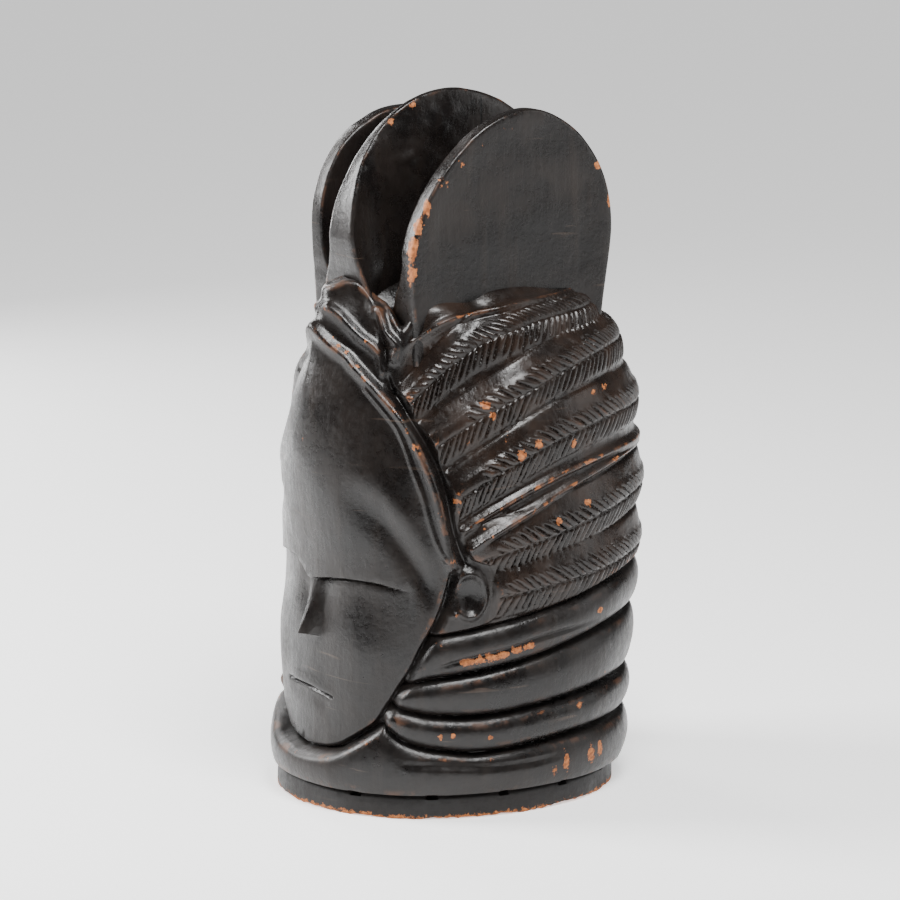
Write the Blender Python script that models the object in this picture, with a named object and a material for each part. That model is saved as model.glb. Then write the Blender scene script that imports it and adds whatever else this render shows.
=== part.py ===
"""A carved wooden helmet mask: one hollow block with a ringed neck, an incised face,
rolled and plaited hair, and three upright lobes on the crown.
Metres, +Z up, the face toward -Y, the rim standing on Z = 0."""
import math

import bpy
import numpy as np

# The whole mask, and how far the carving stands out of the block's sides
MASK_HEIGHT = 0.4150
MASK_WIDTH = 0.1974
CARVING_PROUD = 0.0057

# The block
HEAD_HALF_WIDTH = 0.5 * MASK_WIDTH - CARVING_PROUD
FACE_REACH = 0.1100
CROWN_BACK_REACH = 0.1110
NAPE_REACH = 0.0965
FOOT_SPREAD = 0.0070
PLAN_SQUARENESS = 2.15
PEAK_SQUARENESS = 1.38
LEFT_SHOULDER = 0.0140
RIGHT_SHOULDER = -0.0090
DOME_START = 0.1800
DOME_TOP = 0.3120
SIDE_DOME_POWER = 3.0
BACK_DOME_POWER = 2.6
FRONT_DOME_POWER = 4.0
FAR_TEMPLE_CUT = 0.0115
FAR_NECK_SET_IN = 0.0062
AXIS_SHIFT = 0.0033

# The hollow
WALL = 0.0130
CROWN_WALL = 0.0240

# The neck
RIM_HEIGHT = 0.0143
RIM_SET_IN = 0.0030
RIM_NAPE_SET_IN = 0.0040
NECK_ROLL_LIFT = 0.0032
NECK_GROOVE_DEPTH = 0.0034
NECK_GROOVE_WIDTH = 0.0028

# The face
BROW_HEIGHT = 0.1405
BROW_CUT = 0.0030
BROW_SET_BACK = 0.0040
TEMPLE_HOLLOW = 0.0030
NOSE_TIP_HEIGHT = 0.1020
NOSE_LIFT = 0.0118
NOSE_ROOT_HALF_WIDTH = 0.0036
NOSE_TIP_HALF_WIDTH = 0.0068
MOUTH_HEIGHT = 0.0690
MOUTH_HALF_WIDTH = 0.0210
LIP_LIFT = 0.0022
JAW_GROOVE_DEPTH = 0.0062
JAW_GROOVE_WIDTH = 0.0050
BORDER_LIFT = 0.0046
BORDER_WIDTH = 0.0042
BORDER_GROOVE_DEPTH = 0.0030
FOREHEAD_ROLL_LIFT = 0.0042

# The hair
PLAIT_LIFT = 0.0036
PLAIT_UNDER_LIFT = 0.0012
PLAIT_OFFSET = 0.0052
PLAIT_WIDTH = 0.0046
HAIR_VALLEY = 0.0022
RIDGE_LIFT = 0.0032
RIDGE_WIDTH = 0.0026
EAR_HEIGHT = 0.1330
EAR_ANGLE = 58.5
EAR_HALF_WIDTH = 0.0090
EAR_HALF_HEIGHT = 0.0130
EAR_RING_WIDTH = 0.0026
EAR_LIFT = 0.0044
EAR_PIT = 0.0040

# The lobes
CREST_CENTRE_Y = -0.0070
CREST_CENTRE_Z = 0.3330
CREST_HALF_LENGTH = 0.0770
CREST_RISE = MASK_HEIGHT - CREST_CENTRE_Z
CREST_TOP_THICKNESS = 0.0085
CREST_FOOT_THICKNESS = 0.0340
CREST_WEB_THICKNESS = 0.0110
LOBE_CENTRE_Y = 0.0015
LOBE_CENTRE_Z = 0.3280
LOBE_HALF_LENGTH = 0.0715
LEFT_LOBE_BELOW_CREST = 0.0080
RIGHT_LOBE_BELOW_CREST = 0.0145
LEFT_LOBE_RISE = MASK_HEIGHT - LEFT_LOBE_BELOW_CREST - LOBE_CENTRE_Z
RIGHT_LOBE_RISE = MASK_HEIGHT - RIGHT_LOBE_BELOW_CREST - LOBE_CENTRE_Z
LEFT_LOBE_ROUNDNESS = 1.80
RIGHT_LOBE_ROUNDNESS = 2.10
LOBE_FOOT_THICKNESS = 0.0135
LOBE_TOP_THICKNESS = 0.0095
LOBE_OUTER_X = 0.0530
LEFT_LOBE_LEAN_BACK = 0.120
RIGHT_LOBE_LEAN_BACK = -0.060
LOBE_FOOT_Z = 0.2560
LOBE_FRONT_NECKING = 0.0040
LOBE_BACK_NECKING = 0.0100

# Each row of plaits: front angle in degrees, front height, back height, how soon it levels out
PLAITS = (
    (39.0, 0.246, 0.288, 4.0),
    (47.0, 0.219, 0.266, 2.2),
    (52.0, 0.186, 0.229, 2.4),
    (62.0, 0.153, 0.178, 1.2),
    (64.0, 0.130, 0.142, 1.0),
)
PLAIN_RIDGES = (
    (37.0, 0.277, 0.297, 4.0),
    (55.0, 0.170, 0.207, 2.4),
    (58.0, 0.161, 0.203, 1.8),
)
LEVEL_ANGLE = 140.0

# Lines on the head, as angle from the face in degrees and height
NECK_GROOVES = (
    ((44.0, 0.108), (95.0, 0.121), (138.0, 0.133), (180.0, 0.134)),
    ((38.0, 0.0795), (42.0, 0.0814), (48.4, 0.0834), (60.5, 0.0858), (81.0, 0.091), (138.0, 0.105),
     (180.0, 0.106)),
    ((28.0, 0.0700), (32.9, 0.0667), (38.9, 0.0635), (46.0, 0.0612), (60.5, 0.0597), (90.0, 0.063),
     (130.0, 0.068), (180.0, 0.069)),
    ((0.0, 0.0345), (14.0, 0.0385), (20.0, 0.0450), (26.0, 0.0525), (30.0, 0.0556), (33.0, 0.0510),
     (36.0, 0.0468), (41.0, 0.0434), (48.0, 0.0410), (60.6, 0.0385), (110.0, 0.043), (180.0, 0.044)),
)
BORDER = ((0.0, 0.2945), (6.0, 0.2862), (10.0, 0.2790), (14.0, 0.2718), (20.0, 0.2592), (27.0, 0.2462),
          (33.0, 0.2368), (37.0, 0.2290), (40.0, 0.2205), (43.4, 0.2095), (46.7, 0.1958), (49.3, 0.1782),
          (51.3, 0.1606), (52.6, 0.1500))
INNER_STEP = ((20.9, 0.2502), (26.8, 0.2407), (33.2, 0.2293), (36.8, 0.2182), (40.2, 0.2038), (43.5, 0.1893),
              (45.2, 0.1776), (47.9, 0.1631), (50.3, 0.1544))
HAIRLINE = ((30.2, 0.2498), (32.7, 0.2453), (38.4, 0.2320), (43.2, 0.2210), (47.5, 0.2070), (49.9, 0.1956),
            (51.4, 0.1846), (52.7, 0.1731), (54.6, 0.1620), (57.0, 0.1520))
JAW = ((52.5, 0.1451), (50.7, 0.1326), (48.3, 0.1206), (44.9, 0.1083), (42.3, 0.0995), (39.6, 0.0893),
       (36.3, 0.0793), (32.0, 0.0668), (27.7, 0.0551), (22.5, 0.0480), (17.8, 0.0425), (14.3, 0.0389),
       (7.4, 0.0357), (0.0, 0.0350))
FOREHEAD_ROLLS = (
    ((0.0, 0.3020), (5.0, 0.3015), (10.0, 0.2998), (15.0, 0.2978), (19.0, 0.2968)),
    ((0.0, 0.2985), (3.0, 0.2975), (7.0, 0.2950), (10.0, 0.2922), (15.0, 0.2870), (20.6, 0.2780),
     (23.7, 0.2690), (25.5, 0.2600)),
    ((19.5, 0.2955), (22.4, 0.2915), (27.0, 0.2830), (29.8, 0.2760), (30.2, 0.2690)),
)

COLUMNS = 360
ROWS = 190
BASE_MARGIN = 0.008
HEAD_TRIANGLES = 6600
HOLLOW_COLUMNS = 40
HOLLOW_ROWS = 10
DISC_STEPS = 40


def ramp(value, start, end):
    """Smooth step from 0 at start to 1 at end."""
    t = np.clip((value - start) / (end - start), 0.0, 1.0)
    return t * t * (3.0 - 2.0 * t)


def bump(distance, width):
    return np.exp(-(distance / width) ** 2)


def smooth_line(stations, x):
    """Monotone cubic through (x, value) stations."""
    xs = np.array([s[0] for s in stations], float)
    vs = np.array([s[1] for s in stations], float)
    step = np.diff(xs)
    slope = np.diff(vs) / step
    tangent = np.empty_like(xs)
    tangent[0] = slope[0]
    tangent[-1] = slope[-1]
    same_way = slope[:-1] * slope[1:] > 0
    total = slope[:-1] + slope[1:]
    total[~same_way] = 1.0
    tangent[1:-1] = np.where(same_way, 2.0 * slope[:-1] * slope[1:] / total, 0.0)
    x = np.clip(np.asarray(x, float), xs[0], xs[-1])
    i = np.clip(np.searchsorted(xs, x, side="right") - 1, 0, len(xs) - 2)
    t = (x - xs[i]) / step[i]
    return ((2 * t**3 - 3 * t**2 + 1) * vs[i] + (t**3 - 2 * t**2 + t) * step[i] * tangent[i]
            + (3 * t**2 - 2 * t**3) * vs[i + 1] + (t**3 - t**2) * step[i] * tangent[i + 1])


def head_point(degrees, z):
    """The plain block without carving, at an angle from the face and a height."""
    angle = np.radians(degrees)
    up = np.clip((z - DOME_START) / (DOME_TOP - DOME_START), 0.0, 1.0)
    side_shrink = (1.0 - up**SIDE_DOME_POWER) ** (1.0 / SIDE_DOME_POWER)
    front_shrink = (1.0 - up**FRONT_DOME_POWER) ** (1.0 / FRONT_DOME_POWER)
    spread = FOOT_SPREAD * (1.0 - ramp(z, 0.0, 0.060))
    half = (HEAD_HALF_WIDTH + 0.6 * spread) * side_shrink
    back_wall = NAPE_REACH + (CROWN_BACK_REACH - NAPE_REACH) * ramp(z, 0.0, DOME_START)
    front = (FACE_REACH + spread) * front_shrink
    back = back_wall * (1.0 - up**BACK_DOME_POWER) ** (1.0 / BACK_DOME_POWER)
    sine = np.sin(angle)
    cosine = np.cos(angle)
    reach = np.where(cosine > 0, front, back)
    peaked = ramp(up, -0.15, 0.75) * ramp(cosine, 0.0, 0.5)
    power = PLAN_SQUARENESS + (PEAK_SQUARENESS - PLAN_SQUARENESS) * peaked
    half = np.maximum(half, 1e-6)
    reach = np.maximum(reach, 1e-6)
    radius = (np.abs(sine / half) ** power + np.abs(cosine / reach) ** power) ** (-1.0 / power)
    return np.stack([radius * sine, -radius * cosine, z + 0.0 * angle], -1)


def side_profile():
    """Heights up the side of the block and the distance climbed to each."""
    dome = DOME_START + (DOME_TOP - DOME_START) * np.sin(np.linspace(0.0, math.pi / 2, 400))
    heights = np.concatenate([[-0.05], dome])
    points = head_point(90.0, heights)
    steps = np.linalg.norm(np.diff(points, axis=0), axis=1)
    length = np.concatenate([[0.0], np.cumsum(steps)]) + heights[0]
    return heights, length


def climb(z):
    """Distance up the side of the block to a height."""
    heights, length = side_profile()
    return np.interp(z, heights, length)


def row_height(row, degrees):
    """Height of a row of plaits or a plain ridge, which climbs from the hairline and levels out."""
    start, front, back, hurry = row
    along = np.clip((degrees - start) / (LEVEL_ANGLE - start), -0.3, 1.0)
    return front + (back - front) * (1.0 - (1.0 - along) ** hurry)


def distance_to(line, points):
    """Distance of each point from a line carved on the block."""
    count = 90
    knots = np.linspace(0.0, len(line) - 1.0, count)
    degrees = smooth_line([(i, s[0]) for i, s in enumerate(line)], knots)
    heights = smooth_line([(i, s[1]) for i, s in enumerate(line)], knots)
    path = head_point(degrees, heights)
    start = path[:-1]
    run = path[1:] - start
    best = np.full(len(points), 1e9)
    for a, d in zip(start, run):
        t = np.clip((points - a) @ d / (d @ d), 0.0, 1.0)
        gap = points - a - t[:, None] * d
        best = np.minimum(best, np.einsum("ij,ij->i", gap, gap))
    return np.sqrt(best)


def face_limit(z):
    """Angle of the face's edge at a height: the jaw below, the border above."""
    low = [(s[1], s[0]) for s in reversed(JAW)]
    high = [(s[1], s[0]) for s in reversed(BORDER)]
    return np.where(z < BORDER[-1][1], smooth_line(low, z), smooth_line(high, z))


def hair_limit(z):
    """Angle of the hairline at a height."""
    line = [(0.108, 44.0), (0.118, 66.0), (0.148, 66.0), (0.157, 58.0)]
    line += [(s[1], s[0]) for s in reversed(HAIRLINE[:-1])]
    line += [(0.275, 36.0), (0.290, 36.0)]
    return smooth_line(line, z)


def face_relief(degrees, z, points):
    x = np.abs(points[:, 0])
    side = np.minimum(ramp(degrees, 5.0, 44.0), 1.0)
    below_brow = ramp(BROW_HEIGHT - z, -0.0006, 0.0012) * ramp(z, 0.020, 0.030)
    socket = BROW_CUT * (1.0 - 0.55 * ramp(BROW_HEIGHT - z, 0.004, 0.050))
    socket = socket * (1.0 - ramp(degrees, 30.0, 45.0))
    lift = -below_brow * socket
    lift -= BROW_SET_BACK * (1.0 - ramp(z, BROW_HEIGHT, BROW_HEIGHT + 0.055)) * (1.0 - side)
    lift -= TEMPLE_HOLLOW * bump(degrees - 45.0, 7.0) * bump(z - 0.172, 0.030)
    lift += 0.0020 * bump(z - 0.215, 0.045) * (1.0 - side)
    lift += 0.0022 * bump(z - 0.098, 0.022) * bump(degrees - 24.0, 13.0)
    down = np.clip((BROW_HEIGHT - z) / (BROW_HEIGHT - NOSE_TIP_HEIGHT), 0.0, 1.0)
    nose_half = NOSE_ROOT_HALF_WIDTH + (NOSE_TIP_HALF_WIDTH - NOSE_ROOT_HALF_WIDTH) * down
    nose = np.clip(1.25 * (1.0 - (x / nose_half) ** 3), 0.0, 1.0)
    nose = nose * (0.35 + 0.65 * down) * ramp(z, NOSE_TIP_HEIGHT - 0.003, NOSE_TIP_HEIGHT + 0.001)
    lift += NOSE_LIFT * nose * below_brow
    mouth = (1.0 - ramp(x, 0.7 * MOUTH_HALF_WIDTH, 1.15 * MOUTH_HALF_WIDTH))
    lips = bump(z - MOUTH_HEIGHT - 0.0035, 0.0040) + bump(z - MOUTH_HEIGHT + 0.0040, 0.0040)
    lift += mouth * (LIP_LIFT * lips - 0.0030 * bump(z - MOUTH_HEIGHT, 0.0016))
    return lift


def neck_relief(degrees, z):
    grooves = [smooth_line(line, degrees) for line in NECK_GROOVES]
    rim = np.full_like(z, RIM_HEIGHT)
    lines = grooves + [rim]
    lift = np.zeros_like(z)
    fuller_front = 0.0012 * (1.0 - ramp(degrees, 35.0, 60.0))
    for upper, lower in zip(lines[:-1], lines[1:]):
        within = (z - lower) / np.maximum(upper - lower, 1e-4)
        inside = (within > 0) & (within <= 1)
        belly = np.clip(within, 0.0, 1.0)
        roll = np.sin(math.pi * belly**0.85)
        lift = np.where(inside, NECK_ROLL_LIFT * (1.5 * roll - 0.5) + fuller_front, lift)
    for line in grooves:
        deeper_back = 0.35 + 0.65 * ramp(degrees, 30.0, 55.0)
        lift -= NECK_GROOVE_DEPTH * bump(z - line, NECK_GROOVE_WIDTH) * deeper_back
    set_in = RIM_SET_IN + RIM_NAPE_SET_IN * ramp(degrees, 85.0, 150.0)
    lift = np.where(z < RIM_HEIGHT, -set_in, lift)
    return lift


def hair_relief(degrees, z):
    here = climb(z)
    lift = np.full_like(z, -HAIR_VALLEY)
    for row in PLAITS:
        off = here - climb(row_height(row, degrees))
        lift += PLAIT_LIFT * bump(off - PLAIT_OFFSET, PLAIT_WIDTH)
        lift += (PLAIT_UNDER_LIFT + HAIR_VALLEY) * bump(off + 0.9 * PLAIT_OFFSET, 1.1 * PLAIT_WIDTH)
    for row in PLAIN_RIDGES:
        off = here - climb(row_height(row, degrees))
        lift += RIDGE_LIFT * bump(off, RIDGE_WIDTH)
    return lift


def relief(degrees, z, points):
    """Height of the carving above the plain block; the two sides match but for the temple and the neck."""
    signed = degrees
    shoulder = np.where(signed > 0.0, LEFT_SHOULDER, RIGHT_SHOULDER)
    degrees = np.abs(signed)
    folded = points.copy()
    folded[:, 0] = np.abs(folded[:, 0])
    edge = face_limit(z) - degrees
    in_face = ramp(edge, -0.6, 1.4) * ramp(z, 0.034, 0.040)
    neck = neck_relief(degrees, z)
    far_neck = ramp(-signed, 26.0, 38.0) * (1.0 - ramp(-signed, 66.0, 84.0)) * bump(z - 0.090, 0.036)
    neck = neck - FAR_NECK_SET_IN * far_neck
    hair = hair_relief(degrees, z)
    hair_start = ramp(degrees - hair_limit(z), 0.0, 3.0)
    neck_top = smooth_line(NECK_GROOVES[0], degrees)
    in_hair = ramp(z - neck_top, -0.002, 0.003)
    fade_up = 1.0 - ramp(z, 0.297, 0.303)
    outside = in_hair * hair * hair_start * fade_up + (1.0 - in_hair) * neck
    lift = in_face * face_relief(degrees, z, folded) + (1.0 - in_face) * outside
    border = distance_to(BORDER, folded)
    lift += BORDER_LIFT * bump(border, BORDER_WIDTH)
    step = distance_to(INNER_STEP, folded)
    lift += 0.40 * BORDER_LIFT * bump(step, 0.0022)
    lift -= BORDER_GROOVE_DEPTH * bump(distance_to(HAIRLINE, folded), 0.0026)
    lift -= JAW_GROOVE_DEPTH * bump(distance_to(JAW, folded), JAW_GROOVE_WIDTH)
    for line in FOREHEAD_ROLLS:
        lift += FOREHEAD_ROLL_LIFT * bump(distance_to(line, folded), 0.0034)
    peak = bump(folded[:, 0], 0.020) * ramp(z, 0.262, 0.302) * (1.0 - ramp(degrees, 50.0, 80.0))
    lift += 0.011 * peak * (1.0 - 0.75 * ramp(-signed, 2.0, 18.0))
    lift -= FAR_TEMPLE_CUT * bump(signed + 21.0, 14.0) * bump(z - 0.289, 0.022)
    lift += shoulder * bump(degrees - 42.0, 17.0) * bump(z - 0.294, 0.022)
    centre = head_point(EAR_ANGLE, EAR_HEIGHT)
    ear_x = (degrees - EAR_ANGLE) * math.radians(1.0) * np.linalg.norm(centre[:2])
    ear_z = z - EAR_HEIGHT
    around = np.hypot(ear_x / EAR_HALF_WIDTH, ear_z / EAR_HALF_HEIGHT)
    ring = bump((around - 1.0) * 0.5 * (EAR_HALF_WIDTH + EAR_HALF_HEIGHT), EAR_RING_WIDTH)
    open_front = ramp(ear_x, -0.0085, -0.0045)
    lift += EAR_LIFT * ring * open_front
    lift -= EAR_PIT * bump(around, 0.55)
    return lift


def grid_faces(rows, columns, closed_top):
    """Quads between rings of vertices, with a fan to a last single vertex."""
    faces = []
    for i in range(rows - 1):
        for j in range(columns):
            k = (j + 1) % columns
            faces.append((i * columns + j, i * columns + k, (i + 1) * columns + k, (i + 1) * columns + j))
    if closed_top:
        top = rows * columns
        for j in range(columns):
            k = (j + 1) % columns
            faces.append(((rows - 1) * columns + j, (rows - 1) * columns + k, top))
    faces.append(tuple(reversed(range(columns))))
    return faces


def make_object(name, points, faces):
    mesh = bpy.data.meshes.new(name)
    shifted = np.asarray(points, float) + np.array([0.0, AXIS_SHIFT, 0.0])
    mesh.from_pydata([tuple(p) for p in shifted], [], faces)
    mesh.validate()
    made = bpy.data.objects.new(name, mesh)
    bpy.context.scene.collection.objects.link(made)
    return made


def make_head():
    """The carved outer surface, closed below with a flat cap that is cut off later."""
    profile_heights, length = side_profile()
    climbs = np.linspace(-BASE_MARGIN, length[-1], ROWS, endpoint=False)
    heights = np.interp(climbs, length, profile_heights)
    degrees = np.linspace(-180.0, 180.0, COLUMNS, endpoint=False)
    grid_degrees, grid_z = np.meshgrid(degrees, heights)
    flat = head_point(grid_degrees, grid_z)
    around = np.roll(flat, -1, axis=1) - np.roll(flat, 1, axis=1)
    upward = np.gradient(flat, axis=0)
    normal = np.cross(around, upward)
    normal /= np.linalg.norm(normal, axis=2, keepdims=True)
    points = flat.reshape(-1, 3)
    lift = relief(grid_degrees.reshape(-1), grid_z.reshape(-1), points)
    points = points + normal.reshape(-1, 3) * lift[:, None]
    points[:COLUMNS, 2] = -BASE_MARGIN
    points = np.vstack([points, [[0.0, 0.0, DOME_TOP]]])
    return make_object("helmet_mask", points, grid_faces(len(heights), COLUMNS, True))


def make_hollow():
    """The inside: the block's own form drawn in by the wall, open below."""
    heights = [-2.0 * BASE_MARGIN]
    top = DOME_TOP - CROWN_WALL
    turn = np.linspace(0.0, math.pi / 2, HOLLOW_ROWS, endpoint=False)
    heights += list(DOME_START + (top - DOME_START) * np.sin(turn) ** (2.0 / SIDE_DOME_POWER))
    heights = np.array(heights)
    degrees = np.linspace(-180.0, 180.0, HOLLOW_COLUMNS, endpoint=False)
    grid_degrees, grid_z = np.meshgrid(degrees, heights)
    angle = np.radians(grid_degrees)
    up = np.clip((grid_z - DOME_START) / (top - DOME_START), 0.0, 1.0)
    shrink = (1.0 - up**SIDE_DOME_POWER) ** (1.0 / SIDE_DOME_POWER)
    half = (HEAD_HALF_WIDTH - WALL) * shrink
    front = (FACE_REACH - 1.25 * WALL) * shrink
    nape = NAPE_REACH - WALL
    crown = CROWN_BACK_REACH - WALL
    back = (nape + (crown - nape) * ramp(grid_z, 0.0, DOME_START)) * shrink
    reach = np.where(np.cos(angle) > 0, front, back)
    radius = (np.abs(np.sin(angle) / half) ** 2.1 + np.abs(np.cos(angle) / reach) ** 2.1) ** (-1.0 / 2.1)
    points = np.stack([radius * np.sin(angle), -radius * np.cos(angle), grid_z], -1).reshape(-1, 3)
    points = np.vstack([points, [[0.0, 0.0, top]]])
    return make_object("hollow", points, grid_faces(len(heights), HOLLOW_COLUMNS, True))


def make_floor_cut():
    reach = 3.0 * HEAD_HALF_WIDTH
    low = -4.0 * BASE_MARGIN
    corners = [(-reach, -reach), (reach, -reach), (reach, reach), (-reach, reach)]
    points = [(x, y, z) for z in (low, 0.0) for x, y in corners]
    faces = [(0, 3, 2, 1), (4, 5, 6, 7), (0, 1, 5, 4), (1, 2, 6, 5), (2, 3, 7, 6), (3, 0, 4, 7)]
    return make_object("floor_cut", points, faces)


def disc_outline(centre, half_length, rise, foot_z, necking, lean_back, roundness):
    """An upright disc's rim, from its front foot over the top to its back foot."""
    centre_y, centre_z = centre
    front_necking, back_necking = necking
    outline = [(centre_y - half_length + front_necking, foot_z)]
    for k in range(DISC_STEPS + 1):
        turn = math.pi * k / DISC_STEPS
        across = math.copysign(abs(math.cos(turn)) ** (2.0 / roundness), math.cos(turn))
        up = rise * math.sin(turn) ** (2.0 / roundness)
        outline.append((centre_y - half_length * across + lean_back * up, centre_z + up))
    outline.append((centre_y + half_length - back_necking, foot_z))
    return outline


def make_side_lobe(name, side, rise, lean_back, roundness):
    """A flat disc that thins toward its top, with softened rims."""
    outline = disc_outline((LOBE_CENTRE_Y, LOBE_CENTRE_Z), LOBE_HALF_LENGTH, rise, LOBE_FOOT_Z,
                           (LOBE_FRONT_NECKING, LOBE_BACK_NECKING), lean_back, roundness)
    top = LOBE_CENTRE_Z + rise
    middle_z = 0.5 * (LOBE_FOOT_Z + top)
    points = []
    for inset, share in ((0.0016, 0.0), (0.0, 0.14), (0.0, 0.86), (0.0016, 1.0)):
        for y, z in outline:
            away = math.hypot(y - LOBE_CENTRE_Y, z - middle_z)
            y_in = y - inset * (y - LOBE_CENTRE_Y) / away
            z_in = z - inset * (z - middle_z) / away
            outer = LOBE_OUTER_X
            up = (z_in - LOBE_FOOT_Z) / (top - LOBE_FOOT_Z)
            thick = LOBE_FOOT_THICKNESS + (LOBE_TOP_THICKNESS - LOBE_FOOT_THICKNESS) * up
            points.append((side * (outer - thick * share), y_in, z_in))
    count = len(outline)
    faces = [tuple(range(count)), tuple(reversed(range(3 * count, 4 * count)))]
    for ring in range(3):
        for j in range(count):
            k = (j + 1) % count
            faces.append((ring * count + j, (ring + 1) * count + j, (ring + 1) * count + k, ring * count + k))
    if side > 0:
        faces = [tuple(reversed(face)) for face in faces]
    return make_object(name, points, faces)


def make_crest():
    """The middle lobe: a disc on the midline, broad at its front foot and thin along its top."""
    outline = disc_outline((CREST_CENTRE_Y, CREST_CENTRE_Z), CREST_HALF_LENGTH, CREST_RISE, LOBE_FOOT_Z,
                           (0.0, 0.0), 0.0, 2.0)
    top = CREST_CENTRE_Z + CREST_RISE
    shares = (1.0, 0.93, 0.80, 0.50)
    count = len(outline)
    points = []
    for side in (1.0, -1.0):
        for share in shares:
            for y, z in outline:
                up = np.clip((z - 0.300) / (top - 0.300), 0.0, 1.0)
                front = ramp(CREST_CENTRE_Y - y, 0.35 * CREST_HALF_LENGTH, 0.95 * CREST_HALF_LENGTH)
                widening = front * (1.0 - up) ** 1.2
                rim = CREST_TOP_THICKNESS + (CREST_FOOT_THICKNESS - CREST_TOP_THICKNESS) * widening
                web = CREST_WEB_THICKNESS + 0.45 * (rim - CREST_TOP_THICKNESS)
                blend = float(ramp(1.0 - share, 0.04, 0.30))
                thick = rim + (web - rim) * blend
                y_in = CREST_CENTRE_Y + (y - CREST_CENTRE_Y) * share
                z_in = LOBE_FOOT_Z + (z - LOBE_FOOT_Z) * (share if z > CREST_CENTRE_Z else 1.0)
                points.append((side * 0.5 * float(thick), y_in, z_in))
    faces = []
    rings = len(shares)
    for s in range(2):
        base = s * rings * count
        for ring in range(rings - 1):
            for j in range(count - 1):
                a = base + ring * count + j
                b = a + count
                face = (a, a + 1, b + 1, b)
                faces.append(face if s == 0 else tuple(reversed(face)))
        inner = tuple(base + (rings - 1) * count + j for j in range(count))
        faces.append(inner if s == 0 else tuple(reversed(inner)))
    far = rings * count
    for j in range(count - 1):
        faces.append((j, far + j, far + j + 1, j + 1))
    right_foot = [ring * count for ring in range(rings)]
    right_foot += [ring * count + count - 1 for ring in reversed(range(rings))]
    left_foot = [far + i for i in right_foot]
    for i in range(len(right_foot)):
        k = (i + 1) % len(right_foot)
        if (right_foot[i], right_foot[k]) == (count - 1, 0):
            continue
        faces.append((right_foot[i], right_foot[k], left_foot[k], left_foot[i]))
    faces = [tuple(reversed(face)) for face in faces]
    return make_object("crest", points, faces)


def add_boolean(target, tool, operation):
    cut = target.modifiers.new(tool.name, "BOOLEAN")
    cut.operation = operation
    cut.solver = "EXACT"
    cut.object = tool
    tool.hide_render = True
    tool.display_type = "WIRE"


def make_material():
    wood = bpy.data.materials.new("dark_carved_wood")
    wood.use_nodes = True
    shader = wood.node_tree.nodes["Principled BSDF"]
    shader.inputs["Base Color"].default_value = (0.020, 0.014, 0.011, 1.0)
    shader.inputs["Roughness"].default_value = 0.42
    shader.inputs["Metallic"].default_value = 0.0
    return wood


def main():
    for old in list(bpy.data.objects):
        bpy.data.objects.remove(old, do_unlink=True)
    mask = make_head()
    decimate = mask.modifiers.new("fewer faces", "DECIMATE")
    decimate.decimate_type = "COLLAPSE"
    decimate.use_collapse_triangulate = True
    decimate.ratio = HEAD_TRIANGLES / sum(len(face.vertices) - 2 for face in mask.data.polygons)
    add_boolean(mask, make_crest(), "UNION")
    left = make_side_lobe("left_lobe", 1.0, LEFT_LOBE_RISE, LEFT_LOBE_LEAN_BACK, LEFT_LOBE_ROUNDNESS)
    right = make_side_lobe("right_lobe", -1.0, RIGHT_LOBE_RISE, RIGHT_LOBE_LEAN_BACK, RIGHT_LOBE_ROUNDNESS)
    add_boolean(mask, left, "UNION")
    add_boolean(mask, right, "UNION")
    add_boolean(mask, make_hollow(), "DIFFERENCE")
    add_boolean(mask, make_floor_cut(), "DIFFERENCE")
    mask.data.materials.append(make_material())


main()
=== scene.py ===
"""Looks for the carved helmet mask: fine carving, blackened and worn wood, a pale floor and studio light."""
import math

import bpy
import numpy as np
from mathutils import Matrix, Vector


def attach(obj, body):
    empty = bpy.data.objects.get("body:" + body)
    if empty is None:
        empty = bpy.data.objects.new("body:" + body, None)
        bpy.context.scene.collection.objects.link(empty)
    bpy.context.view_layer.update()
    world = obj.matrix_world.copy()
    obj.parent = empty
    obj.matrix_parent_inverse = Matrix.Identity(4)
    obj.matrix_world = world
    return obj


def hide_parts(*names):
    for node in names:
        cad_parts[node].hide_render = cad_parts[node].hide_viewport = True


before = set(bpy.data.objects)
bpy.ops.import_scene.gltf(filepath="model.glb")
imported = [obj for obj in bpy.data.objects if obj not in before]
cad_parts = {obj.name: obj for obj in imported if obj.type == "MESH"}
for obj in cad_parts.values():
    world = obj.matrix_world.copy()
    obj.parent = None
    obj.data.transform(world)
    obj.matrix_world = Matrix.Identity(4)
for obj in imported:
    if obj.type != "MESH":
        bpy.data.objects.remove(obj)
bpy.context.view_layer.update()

# The block, in metres
HEAD_HALF_WIDTH = 0.0930
FACE_REACH = 0.1100
CROWN_BACK_REACH = 0.1110
NAPE_REACH = 0.0965
FOOT_SPREAD = 0.0070
PLAN_SQUARENESS = 2.15
PEAK_SQUARENESS = 1.38
LEFT_SHOULDER = 0.0140
RIGHT_SHOULDER = -0.0090
DOME_START = 0.1800
DOME_TOP = 0.3120
SIDE_DOME_POWER = 3.0
BACK_DOME_POWER = 2.6
FRONT_DOME_POWER = 4.0
AXIS_SHIFT = 0.0033
WALL = 0.0130
CROWN_WALL = 0.0240

# The neck and the rim
RIM_HEIGHT = 0.0143
RIM_SET_IN = 0.0030
RIM_NAPE_SET_IN = 0.0040
NECK_ROLL_LIFT = 0.0030
NECK_GROOVE_DEPTH = 0.0034
NECK_GROOVE_WIDTH = 0.0014
FAR_NECK_SET_IN = 0.0062
SLOT_SPACING = 24.5
SLOT_START = 22.0
SLOT_DEPTH = 0.0035

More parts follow.
